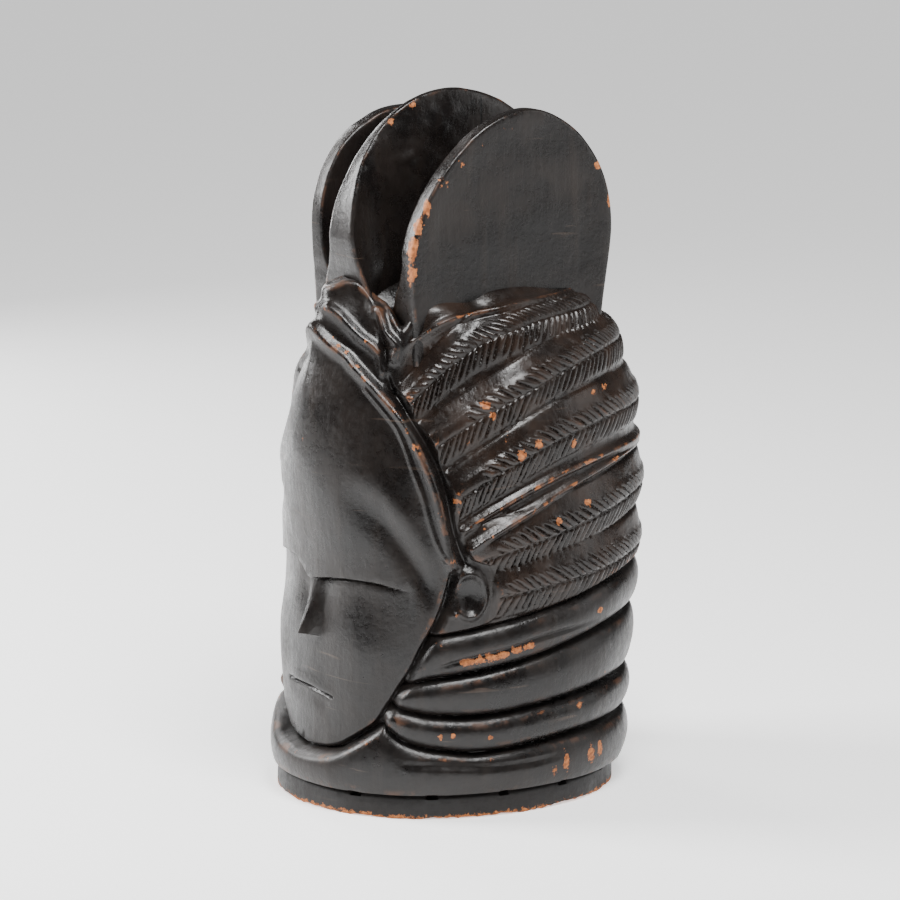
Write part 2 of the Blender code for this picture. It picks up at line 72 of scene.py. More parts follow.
# The face
BROW_HEIGHT = 0.1405
BROW_CUT = 0.0034
BROW_SET_BACK = 0.0040
TEMPLE_HOLLOW = 0.0030
FAR_TEMPLE_CUT = 0.0175
NOSE_TIP_HEIGHT = 0.1020
NOSE_HALF_WIDTH = 0.0088
NOSE_LIFT = 0.0128
MOUTH_HEIGHT = 0.0690
MOUTH_HALF_WIDTH = 0.0210
JAW_GROOVE_DEPTH = 0.0056
BORDER_LIFT = 0.0046
BORDER_WIDTH = 0.0034
BORDER_GROOVE_DEPTH = 0.0030

# The knot over the forehead, and the gap behind it
PEAK_LIFT = 0.011
KNOT_LIFT = 0.0036
KNOT_VALLEY_DEPTH = 0.0026
KNOT_BACK_REACH = 0.0785
GAP_DEPTH = 0.0150

# The hair and the ears
PLAIT_HEIGHT = 0.0058
HAIR_VALLEY = 0.0022
RIDGE_LIFT = 0.0032
RIDGE_WIDTH = 0.0026
UPPER_PITCH = 0.0069
UPPER_PITCH_BACK = 0.0051
LOWER_PITCH = 0.0046
UPPER_SLANT = 1.15
LOWER_SLANT = 0.38
CUT_DEPTH = 0.0021
EAR_HEIGHT = 0.1330
EAR_ANGLE = 58.5
EAR_HALF_WIDTH = 0.0090
EAR_HALF_HEIGHT = 0.0130
EAR_RING_WIDTH = 0.0021
EAR_LIFT = 0.0030
EAR_PIT = 0.0030

# The lobes
MASK_HEIGHT = 0.4150
CREST_CENTRE = (-0.0070, 0.3330)
CREST_HALF_LENGTH = 0.0770
CREST_RISE = MASK_HEIGHT - CREST_CENTRE[1]
CREST_TOP_THICKNESS = 0.0085
CREST_FOOT_THICKNESS = 0.0340
CREST_WEB_THICKNESS = 0.0110
CREST_FOOT_FLARE = 0.0180
CREST_FRONT_NECKING = 0.0105
CREST_DAPPLES = 0.00085
LOBE_CENTRE = (0.0015, 0.3280)
LOBE_HALF_LENGTH = 0.0715
LEFT_LOBE_BELOW_CREST = 0.0080
RIGHT_LOBE_BELOW_CREST = 0.0145
LEFT_LOBE_RISE = MASK_HEIGHT - LEFT_LOBE_BELOW_CREST - LOBE_CENTRE[1]
RIGHT_LOBE_RISE = MASK_HEIGHT - RIGHT_LOBE_BELOW_CREST - LOBE_CENTRE[1]
LEFT_LOBE_ROUNDNESS = 1.80
RIGHT_LOBE_ROUNDNESS = 2.10
LEFT_LOBE_LEAN_BACK = 0.120
RIGHT_LOBE_LEAN_BACK = -0.060
LOBE_OUTER_X = 0.0530
LOBE_FOOT_THICKNESS = 0.0135
LOBE_TOP_THICKNESS = 0.0095
LOBE_FOOT_Z = 0.2560
LOBE_FRONT_NECKING = 0.0040
LOBE_BACK_NECKING = 0.0100
LOBE_FOOT_FLARE = 0.0130
# Each side lobe's name, side, rise, lean, roundness and noise seed
SIDE_LOBES = (
    ("left_lobe", 1.0, LEFT_LOBE_RISE, LEFT_LOBE_LEAN_BACK, LEFT_LOBE_ROUNDNESS, 51),
    ("right_lobe", -1.0, RIGHT_LOBE_RISE, RIGHT_LOBE_LEAN_BACK, RIGHT_LOBE_ROUNDNESS, 61),
)

# Rows of plaits and plain ridges: front angle, front height, back height, how soon they level out
PLAITS = (
    (39.0, 0.246, 0.288, 4.0),
    (47.0, 0.219, 0.266, 2.2),
    (52.0, 0.186, 0.229, 2.4),
    (62.0, 0.153, 0.178, 1.2),
    (64.0, 0.130, 0.142, 1.0),
)
PLAIN_RIDGES = (
    (37.0, 0.277, 0.297, 4.0),
    (55.0, 0.170, 0.207, 2.4),
    (58.0, 0.161, 0.203, 1.8),
)
LEVEL_ANGLE = 140.0
# Section across a plait, as distance from its vein and share of PLAIT_HEIGHT
PLAIT_PROFILE = ((-0.0138, 0.00), (-0.0127, 0.16), (-0.0100, 0.42), (-0.0015, 0.86), (0.0040, 1.00),
                 (0.0085, 0.92), (0.0112, 0.68), (0.0130, 0.58), (0.0188, 0.36), (0.0206, 0.24),
                 (0.0218, 0.00))
# How the upper cuts of each row start: bare length, share of the full depth, pitch
UPPER_STARTS = (
    (0.001, 0.60, 0.0050),
    (0.022, 1.00, 0.0068),
    (0.018, 1.05, 0.0072),
    (0.012, 1.00, 0.0066),
    (0.006, 0.90, 0.0060),
)

# Carved lines, as angle from the face in degrees and height
NECK_GROOVES = (
    ((44.0, 0.108), (95.0, 0.121), (138.0, 0.133), (180.0, 0.134)),
    ((38.0, 0.0795), (42.0, 0.0814), (48.4, 0.0834), (60.5, 0.0858), (81.0, 0.091), (138.0, 0.105),
     (180.0, 0.106)),
    ((28.0, 0.0700), (32.9, 0.0667), (38.9, 0.0635), (46.0, 0.0612), (60.5, 0.0597), (90.0, 0.063),
     (130.0, 0.068), (180.0, 0.069)),
    ((0.0, 0.0345), (14.0, 0.0385), (20.0, 0.0450), (26.0, 0.0525), (30.0, 0.0556), (33.0, 0.0510),
     (36.0, 0.0468), (41.0, 0.0434), (48.0, 0.0410), (60.6, 0.0385), (110.0, 0.043), (180.0, 0.044)),
)
NECK_FOLD = ((46.0, 0.090), (58.0, 0.0955), (70.0, 0.099), (84.0, 0.104), (110.0, 0.108))
NECK_SHELF = ((33.0, 0.0330), (48.0, 0.0325), (70.0, 0.0300), (100.0, 0.0315))
BROW_LINE = ((-60.0, 0.1380), (-35.0, 0.1400), (-20.0, 0.1440), (-12.0, 0.1450), (-6.0, 0.1405),
             (0.0, 0.1345), (3.0, 0.1356), (12.4, 0.1385), (20.6, 0.1394), (28.4, 0.1389), (35.4, 0.1368),
             (60.0, 0.1340))
TEMPLE_LINE = ((14.0, 0.1945), (19.6, 0.1933), (27.9, 0.1880), (35.9, 0.1719), (40.5, 0.1601),
               (45.3, 0.1472))
BORDER = ((0.0, 0.2810), (3.6, 0.2768), (7.3, 0.2724), (12.8, 0.2668), (16.5, 0.2612), (20.7, 0.2555),
          (27.0, 0.2462), (33.0, 0.2368), (37.0, 0.2290), (40.0, 0.2205), (43.4, 0.2095), (46.7, 0.1958),
          (49.3, 0.1782), (51.3, 0.1606), (52.6, 0.1500))
INNER_STEP = ((20.9, 0.2502), (26.8, 0.2407), (33.2, 0.2293), (36.8, 0.2182), (40.2, 0.2038), (43.5, 0.1893),
              (45.2, 0.1776), (47.9, 0.1631), (50.3, 0.1544))
HAIRLINE = ((30.2, 0.2498), (32.7, 0.2453), (38.4, 0.2320), (43.2, 0.2210), (47.5, 0.2070), (49.9, 0.1956),
            (51.4, 0.1846), (52.7, 0.1731), (54.6, 0.1620), (57.0, 0.1520))
JAW = ((52.5, 0.1451), (50.7, 0.1326), (48.3, 0.1206), (44.9, 0.1083), (42.3, 0.0995), (39.6, 0.0893),
       (36.3, 0.0793), (32.0, 0.0668), (27.7, 0.0551), (22.5, 0.0480), (17.8, 0.0425), (14.3, 0.0389),
       (7.4, 0.0357), (0.0, 0.0350))
FOREHEAD_ROLLS = (
    ((0.0, 0.2965), (3.3, 0.2988), (6.0, 0.3000), (9.0, 0.2994), (12.9, 0.2975), (15.8, 0.2942),
     (17.8, 0.2912)),
    ((3.0, 0.2900), (7.0, 0.2876), (11.4, 0.2830), (16.0, 0.2780), (21.5, 0.2728), (24.3, 0.2682),
     (26.0, 0.2605)),
    ((19.5, 0.2905), (22.3, 0.2850), (24.5, 0.2803), (27.8, 0.2762), (29.6, 0.2728), (29.2, 0.2675)),
)
KNOT_VALLEY = ((18.2, 0.2910), (21.5, 0.2832), (24.7, 0.2735), (26.5, 0.2625), (28.3, 0.2545),
               (30.2, 0.2498))

# How fine the mesh is
COLUMNS = 1000
ROWS = 600
INSIDE_ROWS = 60
INSIDE_STRAIGHT_ROWS = 12
HEAD_TRIANGLES = 146000
LOBE_TRIANGLES = 16000

# The camera stands where the photograph was taken from
CAMERA_AZIMUTH = 55.0
CAMERA_ELEVATION = 12.0
CAMERA_DISTANCE = 2.5
CAMERA_LENS = 167.8
AIM = (0.0, AXIS_SHIFT, 0.200)
AIM_RIGHT = 0.00536
AIM_UP = 0.00197

# Light: the place it aims at, and each light's name, azimuth, elevation, distance, width, height, power
MIDDLE = Vector((0.0, 0.0, 0.22))
SOFT_LIGHTS = (
    ("left_window", -42.0, 28.0, 1.3, 0.55, 0.8, 36.0),
    ("ceiling", 74.0, 62.0, 1.2, 0.5, 0.5, 26.0),
    ("right_fill", 140.0, 20.0, 1.7, 0.7, 1.2, 6.0),
    ("far_left", -92.0, 16.0, 1.5, 0.4, 1.0, 14.0),
)
BACKDROP_AZIMUTH = 235.0
BACKDROP_BRIGHTNESS = 1.6
ROOM_BRIGHTNESS = 0.50
FLOOR_GLOW = 0.9

# Colours of the wood, from the stain to what shows under it, and the painted shade of the crack
DARK_STAIN = (0.0050, 0.0042, 0.0040, 1.0)
THIN_STAIN = (0.0115, 0.0085, 0.0072, 1.0)
GRAIN_STAIN = (0.0190, 0.0135, 0.0105, 1.0)
WARM_STAIN = (0.0240, 0.0140, 0.0095, 1.0)
RUBBED_BROWN = (0.080, 0.036, 0.019, 1.0)
BARE_WOOD = (0.28, 0.095, 0.030, 1.0)
SCRATCH = (0.070, 0.048, 0.036, 1.0)
CRACK_SHADE = (0.0012, 0.0010, 0.0010, 1.0)
RAW_WOOD = (0.22, 0.066, 0.018, 1.0)
PALE_RAW_WOOD = (0.44, 0.155, 0.048, 1.0)

# Where the painted shade of the crack in the crest lies, as middle and half sizes
CREST_CRACK = ((0.0056, 0.0152, 0.4020), (0.0040, 0.0011, 0.0130))

# Chips on the head, as angle, height and half sizes across and up
HEAD_CHIPS = (
    (58.0, 0.0935, 0.0085, 0.0046), (62.0, 0.0945, 0.0085, 0.0050), (66.0, 0.0957, 0.0080, 0.0050),
    (70.5, 0.0970, 0.0085, 0.0050), (75.0, 0.0985, 0.0085, 0.0046), (80.0, 0.1000, 0.0085, 0.0044),
    (49.0, 0.0500, 0.0030, 0.0030), (53.0, 0.0500, 0.0028, 0.0030), (65.5, 0.0480, 0.0030, 0.0030),
    (95.0, 0.0276, 0.0045, 0.0110), (90.0, 0.0210, 0.0040, 0.0070), (107.0, 0.0266, 0.0050, 0.0120),
    (112.0, 0.0290, 0.0045, 0.0090), (102.0, 0.0590, 0.0045, 0.0035), (118.0, 0.0720, 0.0040, 0.0050),
    (0.5, 0.2190, 0.0022, 0.0028), (11.0, 0.1760, 0.0022, 0.0022), (11.0, 0.1590, 0.0022, 0.0022),
    (45.6, 0.1510, 0.0028, 0.0026), (4.5, 0.0410, 0.0026, 0.0022), (12.5, 0.0440, 0.0030, 0.0022),
    (7.3, 0.2775, 0.0032, 0.0036), (10.0, 0.2735, 0.0034, 0.0036), (12.8, 0.2700, 0.0030, 0.0036),
    (17.5, 0.2625, 0.0034, 0.0036), (40.2, 0.2200, 0.0028, 0.0040), (64.6, 0.2430, 0.0050, 0.0036),
    (67.0, 0.2370, 0.0036, 0.0040), (72.0, 0.2260, 0.0044, 0.0052), (77.0, 0.2140, 0.0046, 0.0052),
    (84.0, 0.2190, 0.0046, 0.0040), (58.8, 0.2210, 0.0042, 0.0036), (53.6, 0.1890, 0.0046, 0.0030),
    (88.0, 0.1890, 0.0046, 0.0036), (92.0, 0.1720, 0.0036, 0.0036), (64.6, 0.1735, 0.0046, 0.0042),
    (112.0, 0.2440, 0.0050, 0.0040), (119.0, 0.2460, 0.0050, 0.0050), (122.0, 0.2000, 0.0050, 0.0050),
    (112.0, 0.1130, 0.0046, 0.0036), (100.0, 0.2150, 0.0050, 0.0044), (106.0, 0.1800, 0.0042, 0.0036),
)
# Chips in the hair, above a height and beyond an angle, are larger than the table says
HAIR_CHIPS_ABOVE = 0.155
HAIR_CHIPS_BEYOND = 50.0
HAIR_CHIP_GROWTH = 1.25
# Chips on the near lobe and the crest, as middle and half sizes
LOBE_CHIPS = (
    ((0.0510, -0.0655, 0.3180), (0.0060, 0.0050, 0.0130)),
    ((0.0520, -0.0660, 0.3330), (0.0080, 0.0060, 0.0150)),
    ((0.0525, -0.0625, 0.3460), (0.0075, 0.0060, 0.0130)),
    ((0.0520, -0.0560, 0.3560), (0.0060, 0.0050, 0.0090)),
    ((0.0500, -0.0440, 0.3690), (0.0060, 0.0070, 0.0060)),
    ((0.0500, -0.0330, 0.3790), (0.0055, 0.0080, 0.0055)),
    ((0.0490, -0.0180, 0.3890), (0.0060, 0.0090, 0.0050)),
    ((0.0490, 0.0000, 0.3975), (0.0055, 0.0100, 0.0045)),
    ((0.0525, 0.0650, 0.3700), (0.0040, 0.0040, 0.0060)),
    ((0.0525, 0.0740, 0.3480), (0.0040, 0.0040, 0.0060)),
    ((0.0040, -0.0480, 0.4000), (0.0040, 0.0070, 0.0050)),
    ((0.0040, -0.0330, 0.4080), (0.0040, 0.0080, 0.0040)),
)


def ramp(value, start, end):
    """Smooth step from 0 at start to 1 at end."""
    t = np.clip((value - start) / (end - start), 0.0, 1.0)
    return t * t * (3.0 - 2.0 * t)


def bump(distance, width):
    return np.exp(-(distance / width) ** 2)


def smooth_line(stations, x):
    """Monotone cubic through (x, value) stations."""
    xs = np.array([s[0] for s in stations], float)
    vs = np.array([s[1] for s in stations], float)
    step = np.diff(xs)
    slope = np.diff(vs) / step
    tangent = np.empty_like(xs)
    tangent[0] = slope[0]
    tangent[-1] = slope[-1]
    same_way = slope[:-1] * slope[1:] > 0
    total = slope[:-1] + slope[1:]
    total[~same_way] = 1.0
    tangent[1:-1] = np.where(same_way, 2.0 * slope[:-1] * slope[1:] / total, 0.0)
    x = np.clip(np.asarray(x, float), xs[0], xs[-1])
    i = np.clip(np.searchsorted(xs, x, side="right") - 1, 0, len(xs) - 2)
    t = (x - xs[i]) / step[i]
    return ((2 * t**3 - 3 * t**2 + 1) * vs[i] + (t**3 - 2 * t**2 + t) * step[i] * tangent[i]
            + (3 * t**2 - 2 * t**3) * vs[i + 1] + (t**3 - t**2) * step[i] * tangent[i + 1])


def hashed(i, j, k, seed):
    """A repeatable value from 0 to 1 for each lattice point."""
    n = (i * 374761393 + j * 668265263 + k * 2147483647 + seed * 1274126177) & 0xFFFFFFFF
    n = ((n ^ (n >> 13)) * 1274126177) & 0xFFFFFFFF
    return ((n ^ (n >> 16)) & 0xFFFF) / 65535.0


def noise(points, size, seed):
    """Smooth noise from -1 to 1 whose lumps are about size across."""
    p = points / size
    base = np.floor(p).astype(np.int64)
    f = p - base
    f = f * f * (3.0 - 2.0 * f)
    total = 0.0
    for dx in (0, 1):
        wx = f[..., 0] if dx else 1.0 - f[..., 0]
        for dy in (0, 1):
            wy = f[..., 1] if dy else 1.0 - f[..., 1]
            for dz in (0, 1):
                wz = f[..., 2] if dz else 1.0 - f[..., 2]
                corner = hashed(base[..., 0] + dx, base[..., 1] + dy, base[..., 2] + dz, seed)
                total = total + wx * wy * wz * corner
    return 2.0 * total - 1.0


def head_point(degrees, z):
    """The plain block without carving, at an angle from the face and a height."""
    angle = np.radians(degrees)
    up = np.clip((z - DOME_START) / (DOME_TOP - DOME_START), 0.0, 1.0)
    side_shrink = (1.0 - up**SIDE_DOME_POWER) ** (1.0 / SIDE_DOME_POWER)
    front_shrink = (1.0 - up**FRONT_DOME_POWER) ** (1.0 / FRONT_DOME_POWER)
    spread = FOOT_SPREAD * (1.0 - ramp(z, 0.0, 0.060))
    half = (HEAD_HALF_WIDTH + 0.6 * spread) * side_shrink
    back_wall = NAPE_REACH + (CROWN_BACK_REACH - NAPE_REACH) * ramp(z, 0.0, DOME_START)
    front = (FACE_REACH + spread) * front_shrink
    back = back_wall * (1.0 - up**BACK_DOME_POWER) ** (1.0 / BACK_DOME_POWER)
    sine = np.sin(angle)
    cosine = np.cos(angle)
    reach = np.where(cosine > 0, front, back)
    peaked = ramp(up, -0.15, 0.75)
    power = PLAN_SQUARENESS + (PEAK_SQUARENESS - PLAN_SQUARENESS) * peaked * ramp(cosine, 0.0, 0.5)
    half = np.maximum(half, 1e-6)
    reach = np.maximum(reach, 1e-6)
    radius = (np.abs(sine / half) ** power + np.abs(cosine / reach) ** power) ** (-1.0 / power)
    return np.stack([radius * sine, -radius * cosine, z + 0.0 * angle], -1)


def side_profile():
    """Heights up the side of the block and the distance climbed to each."""
    dome = DOME_START + (DOME_TOP - DOME_START) * np.sin(np.linspace(0.0, math.pi / 2, 400))
    heights = np.concatenate([[-0.05], dome])
    points = head_point(90.0, heights)
    steps = np.linalg.norm(np.diff(points, axis=0), axis=1)
    length = np.concatenate([[0.0], np.cumsum(steps)]) + heights[0]
    return heights, length


PROFILE = side_profile()


def climb(z):
    """Distance up the side of the block to a height."""
    return np.interp(z, PROFILE[0], PROFILE[1])


def row_height(row, degrees):
    """Height of a row of plaits or a plain ridge, which climbs from the hairline and levels out."""
    start, front, back, hurry = row
    along = np.clip((degrees - start) / (LEVEL_ANGLE - start), -0.3, 1.0)
    return front + (back - front) * (1.0 - (1.0 - along) ** hurry)


def row_length(row, degrees):
    """Distance along a row from the front."""
    stations = np.linspace(0.0, 180.0, 361)
    path = head_point(stations, row_height(row, stations))
    steps = np.linalg.norm(np.diff(path, axis=0), axis=1)
    return np.interp(degrees, stations, np.concatenate([[0.0], np.cumsum(steps)]))


def distance_to(line, points):
    """Distance of each point from a line carved on the block, 20 mm or more being all the same."""
    knots = np.linspace(0.0, len(line) - 1.0, 60)
    degrees = smooth_line([(i, s[0]) for i, s in enumerate(line)], knots)
    heights = smooth_line([(i, s[1]) for i, s in enumerate(line)], knots)
    path = head_point(degrees, heights)
    low = path.min(axis=0) - 0.020
    high = path.max(axis=0) + 0.020
    near = np.all((points > low) & (points < high), axis=1)
    some = points[near]
    best = np.full(len(some), 0.0004)
    for a, b in zip(path[:-1], path[1:]):
        d = b - a
        t = np.clip((some - a) @ d / (d @ d), 0.0, 1.0)
        gap = some - a - t[:, None] * d
        best = np.minimum(best, np.einsum("ij,ij->i", gap, gap))
    out = np.full(len(points), 0.020)
    out[near] = np.sqrt(best)
    return out


def face_limit(z):
    """Angle of the face's edge at a height: the jaw below, the border above."""
    low = [(s[1], s[0]) for s in reversed(JAW)]
    high = [(s[1], s[0]) for s in reversed(BORDER)]
    return np.where(z < BORDER[-1][1], smooth_line(low, z), smooth_line(high, z))


def hair_limit(z):
    """Angle of the hairline at a height."""
    line = [(0.108, 44.0), (0.118, 66.0), (0.148, 66.0), (0.1545, 58.5)]
    line += [(s[1], s[0] + 1.5) for s in reversed(HAIRLINE[:-1])]
    line += [(0.262, 31.0), (0.275, 33.0), (0.290, 36.0)]
    return smooth_line(line, z)


def face_relief(signed, z, points):
    degrees = np.abs(signed)
    x = np.abs(points[:, 0])
    side = ramp(degrees, 5.0, 44.0)
    brow = smooth_line(BROW_LINE, signed)
    below = brow - z
    below_brow = ramp(below, -0.0003, 0.0009) * ramp(z, 0.020, 0.030)
    socket = BROW_CUT * (1.0 - 0.70 * ramp(below, 0.004, 0.046)) * (1.0 - ramp(degrees, 26.0, 42.0))
    socket += 0.0022 * bump(signed, 9.0) * (1.0 - ramp(below, 0.010, 0.035))
    lift = -below_brow * socket
    eye_line = bump(below - 0.0010, 0.0008) * ramp(degrees, 1.0, 5.0) * (1.0 - ramp(degrees, 26.0, 40.0))
    lift -= 0.0014 * eye_line
    lift -= BROW_SET_BACK * (1.0 - ramp(z, BROW_HEIGHT, BROW_HEIGHT + 0.055)) * (1.0 - side)
    crease = smooth_line(TEMPLE_LINE, degrees)
    flank = ramp(degrees, 13.0, 26.0) * (1.0 - ramp(degrees, 44.0, 50.0))
    lift -= TEMPLE_HOLLOW * bump(z - crease + 0.0085, 0.0110) * flank
    lift += 0.0014 * bump(z - crease - 0.010, 0.012) * flank
    lift += 0.0020 * bump(z - 0.215, 0.045) * (1.0 - side)
    lift += 0.0022 * bump(z - 0.098, 0.022) * bump(degrees - 24.0, 13.0)
    lift += 0.0020 * bump(z - 0.066, 0.024) * (1.0 - ramp(degrees, 18.0, 38.0))
    lift += 0.0015 * ramp(-signed, 15.0, 30.0) * bump(z - 0.080, 0.030)
    down = np.clip(below / (BROW_HEIGHT - NOSE_TIP_HEIGHT), 0.0, 1.0)
    nose = np.clip(1.0 - (x / NOSE_HALF_WIDTH) ** 1.35, 0.0, 1.0)
    nose = nose * (0.16 + 0.84 * down) * ramp(z, NOSE_TIP_HEIGHT - 0.0022, NOSE_TIP_HEIGHT + 0.0008)
    lift += NOSE_LIFT * nose * below_brow
    half = np.where(signed > 0.0, MOUTH_HALF_WIDTH, 1.30 * MOUTH_HALF_WIDTH)
    mouth = 1.0 - ramp(x, 0.55 * half, 1.05 * half)
    lips = z - MOUTH_HEIGHT + 0.14 * np.where(signed > 0.0, x, 0.0)
    slit = bump(lips, 0.0010) * (1.0 - ramp(x, 0.88 * half, 1.06 * half))
    under = ramp(-lips, -0.0004, 0.0010) * (1.0 - ramp(-lips, 0.003, 0.013))
    lift += 0.0006 * mouth * bump(lips - 0.003, 0.0035) - 0.0026 * slit - 0.0013 * mouth * under
    return lift


def neck_relief(signed, z):
    degrees = np.abs(signed)
    grooves = [smooth_line(line, degrees) for line in NECK_GROOVES]
    lines = grooves + [np.full_like(z, RIM_HEIGHT)]
    lift = np.zeros_like(z)
    fuller_front = 0.0012 * (1.0 - ramp(degrees, 35.0, 60.0))
    for upper, lower in zip(lines[:-1], lines[1:]):
        within = (z - lower) / np.maximum(upper - lower, 1e-4)
        inside = (within > 0) & (within <= 1)
        roll = np.sin(math.pi * np.clip(within, 0.0, 1.0) ** 1.15) ** 0.70
        lift = np.where(inside, NECK_ROLL_LIFT * (1.5 * roll - 0.5) + fuller_front, lift)
    for line in grooves:
        depth = NECK_GROOVE_DEPTH * (0.30 + 0.70 * ramp(degrees, 32.0, 56.0))
        lift -= depth * bump(z - line, NECK_GROOVE_WIDTH) + 0.0008 * bump(z - line, 0.0040)
    fold = smooth_line(NECK_FOLD, degrees)
    fold_fade = ramp(degrees, 44.0, 54.0) * (1.0 - ramp(degrees, 92.0, 118.0))
    lift -= 0.0018 * bump(z - fold, 0.0016) * fold_fade
    shelf = smooth_line(NECK_SHELF, degrees)
    lift -= 0.0010 * bump(z - shelf, 0.0022) * ramp(degrees, 34.0, 42.0) * (1.0 - ramp(degrees, 80.0, 104.0))
    far_side = ramp(-signed, 26.0, 38.0) * (1.0 - ramp(-signed, 66.0, 84.0))
    lift -= FAR_NECK_SET_IN * far_side * bump(z - 0.090, 0.036)
    set_in = RIM_SET_IN + RIM_NAPE_SET_IN * ramp(degrees, 85.0, 150.0)
    rim = -set_in - 0.0014 * bump(z - RIM_HEIGHT, 0.0012)
    return np.where(z < RIM_HEIGHT, rim, lift)


def plait_cuts(row, index, degrees, off):
    """Slanted gouge cuts either side of a row's vein, meeting it like the barbs of a feather."""
    along = row_length(row, degrees) - row_length(row, np.array(hair_limit(row[1])))
    quicken = 0.5 * (1.0 / UPPER_PITCH_BACK - 1.0 / UPPER_PITCH) / 0.150
    wander = 0.0007 * np.sin(along * 210.0 + 1.7 * index)
    lift = np.zeros_like(off)
    upper_bare, upper_depth, upper_pitch = UPPER_STARTS[index]
    sides = ((1.0, UPPER_SLANT, 0.0116, upper_bare, upper_depth), (-1.0, LOWER_SLANT, 0.0132, 0.0010, 1.0))
    for side, slant, reach, bare, strength in sides:
        away = np.maximum(side * off, 0.0)
        run = along + slant * away + wander
        if side > 0:
            phase = run / upper_pitch + quicken * run * np.abs(run)
        else:
            phase = run / LOWER_PITCH
        number = np.round(phase).astype(np.int64)
        shift = 0.16 * (hashed(number, index, 4, 13) - 0.5)
        gap = np.abs(phase - number - shift)
        rounded = np.clip(np.sin(math.pi * np.clip(gap, 0.0, 0.5)), 0.0, 1.0) ** 0.55
        length = reach * (0.86 + 0.24 * hashed(number, index, 5, 7))
        depth = strength * CUT_DEPTH * (0.72 + 0.50 * hashed(number, index, 9, 5))
        window = ramp(side * off, 0.0003, 0.0014) * (1.0 - ramp(away, 0.72 * length, 1.06 * length))
        window = window * ramp(along, bare, bare + 0.005)
        lift -= depth * (1.0 - rounded) * window
    lift -= 0.0014 * bump(off, 0.0009) * ramp(along, 0.002, 0.008)
    return lift


def hair_relief(degrees, z):
    here = climb(z)
    hill = np.zeros_like(z)
    cuts = np.zeros_like(z)
    for index, row in enumerate(PLAITS):
        off = here - climb(row_height(row, degrees))
        near = (off > PLAIT_PROFILE[0][0]) & (off < PLAIT_PROFILE[-1][0])
        part = off[near]
        hill[near] = np.maximum(hill[near], PLAIT_HEIGHT * smooth_line(PLAIT_PROFILE, part))
        cuts[near] += plait_cuts(row, index, degrees[near], part)
    lift = hill + cuts - HAIR_VALLEY
    for row in PLAIN_RIDGES:
        off = here - climb(row_height(row, degrees))
        lift += RIDGE_LIFT * bump(off, RIDGE_WIDTH)
        lift -= 0.0007 * bump(off + 0.0035, 0.0009) * ramp(degrees, row[0] + 4.0, row[0] + 10.0)
    return lift


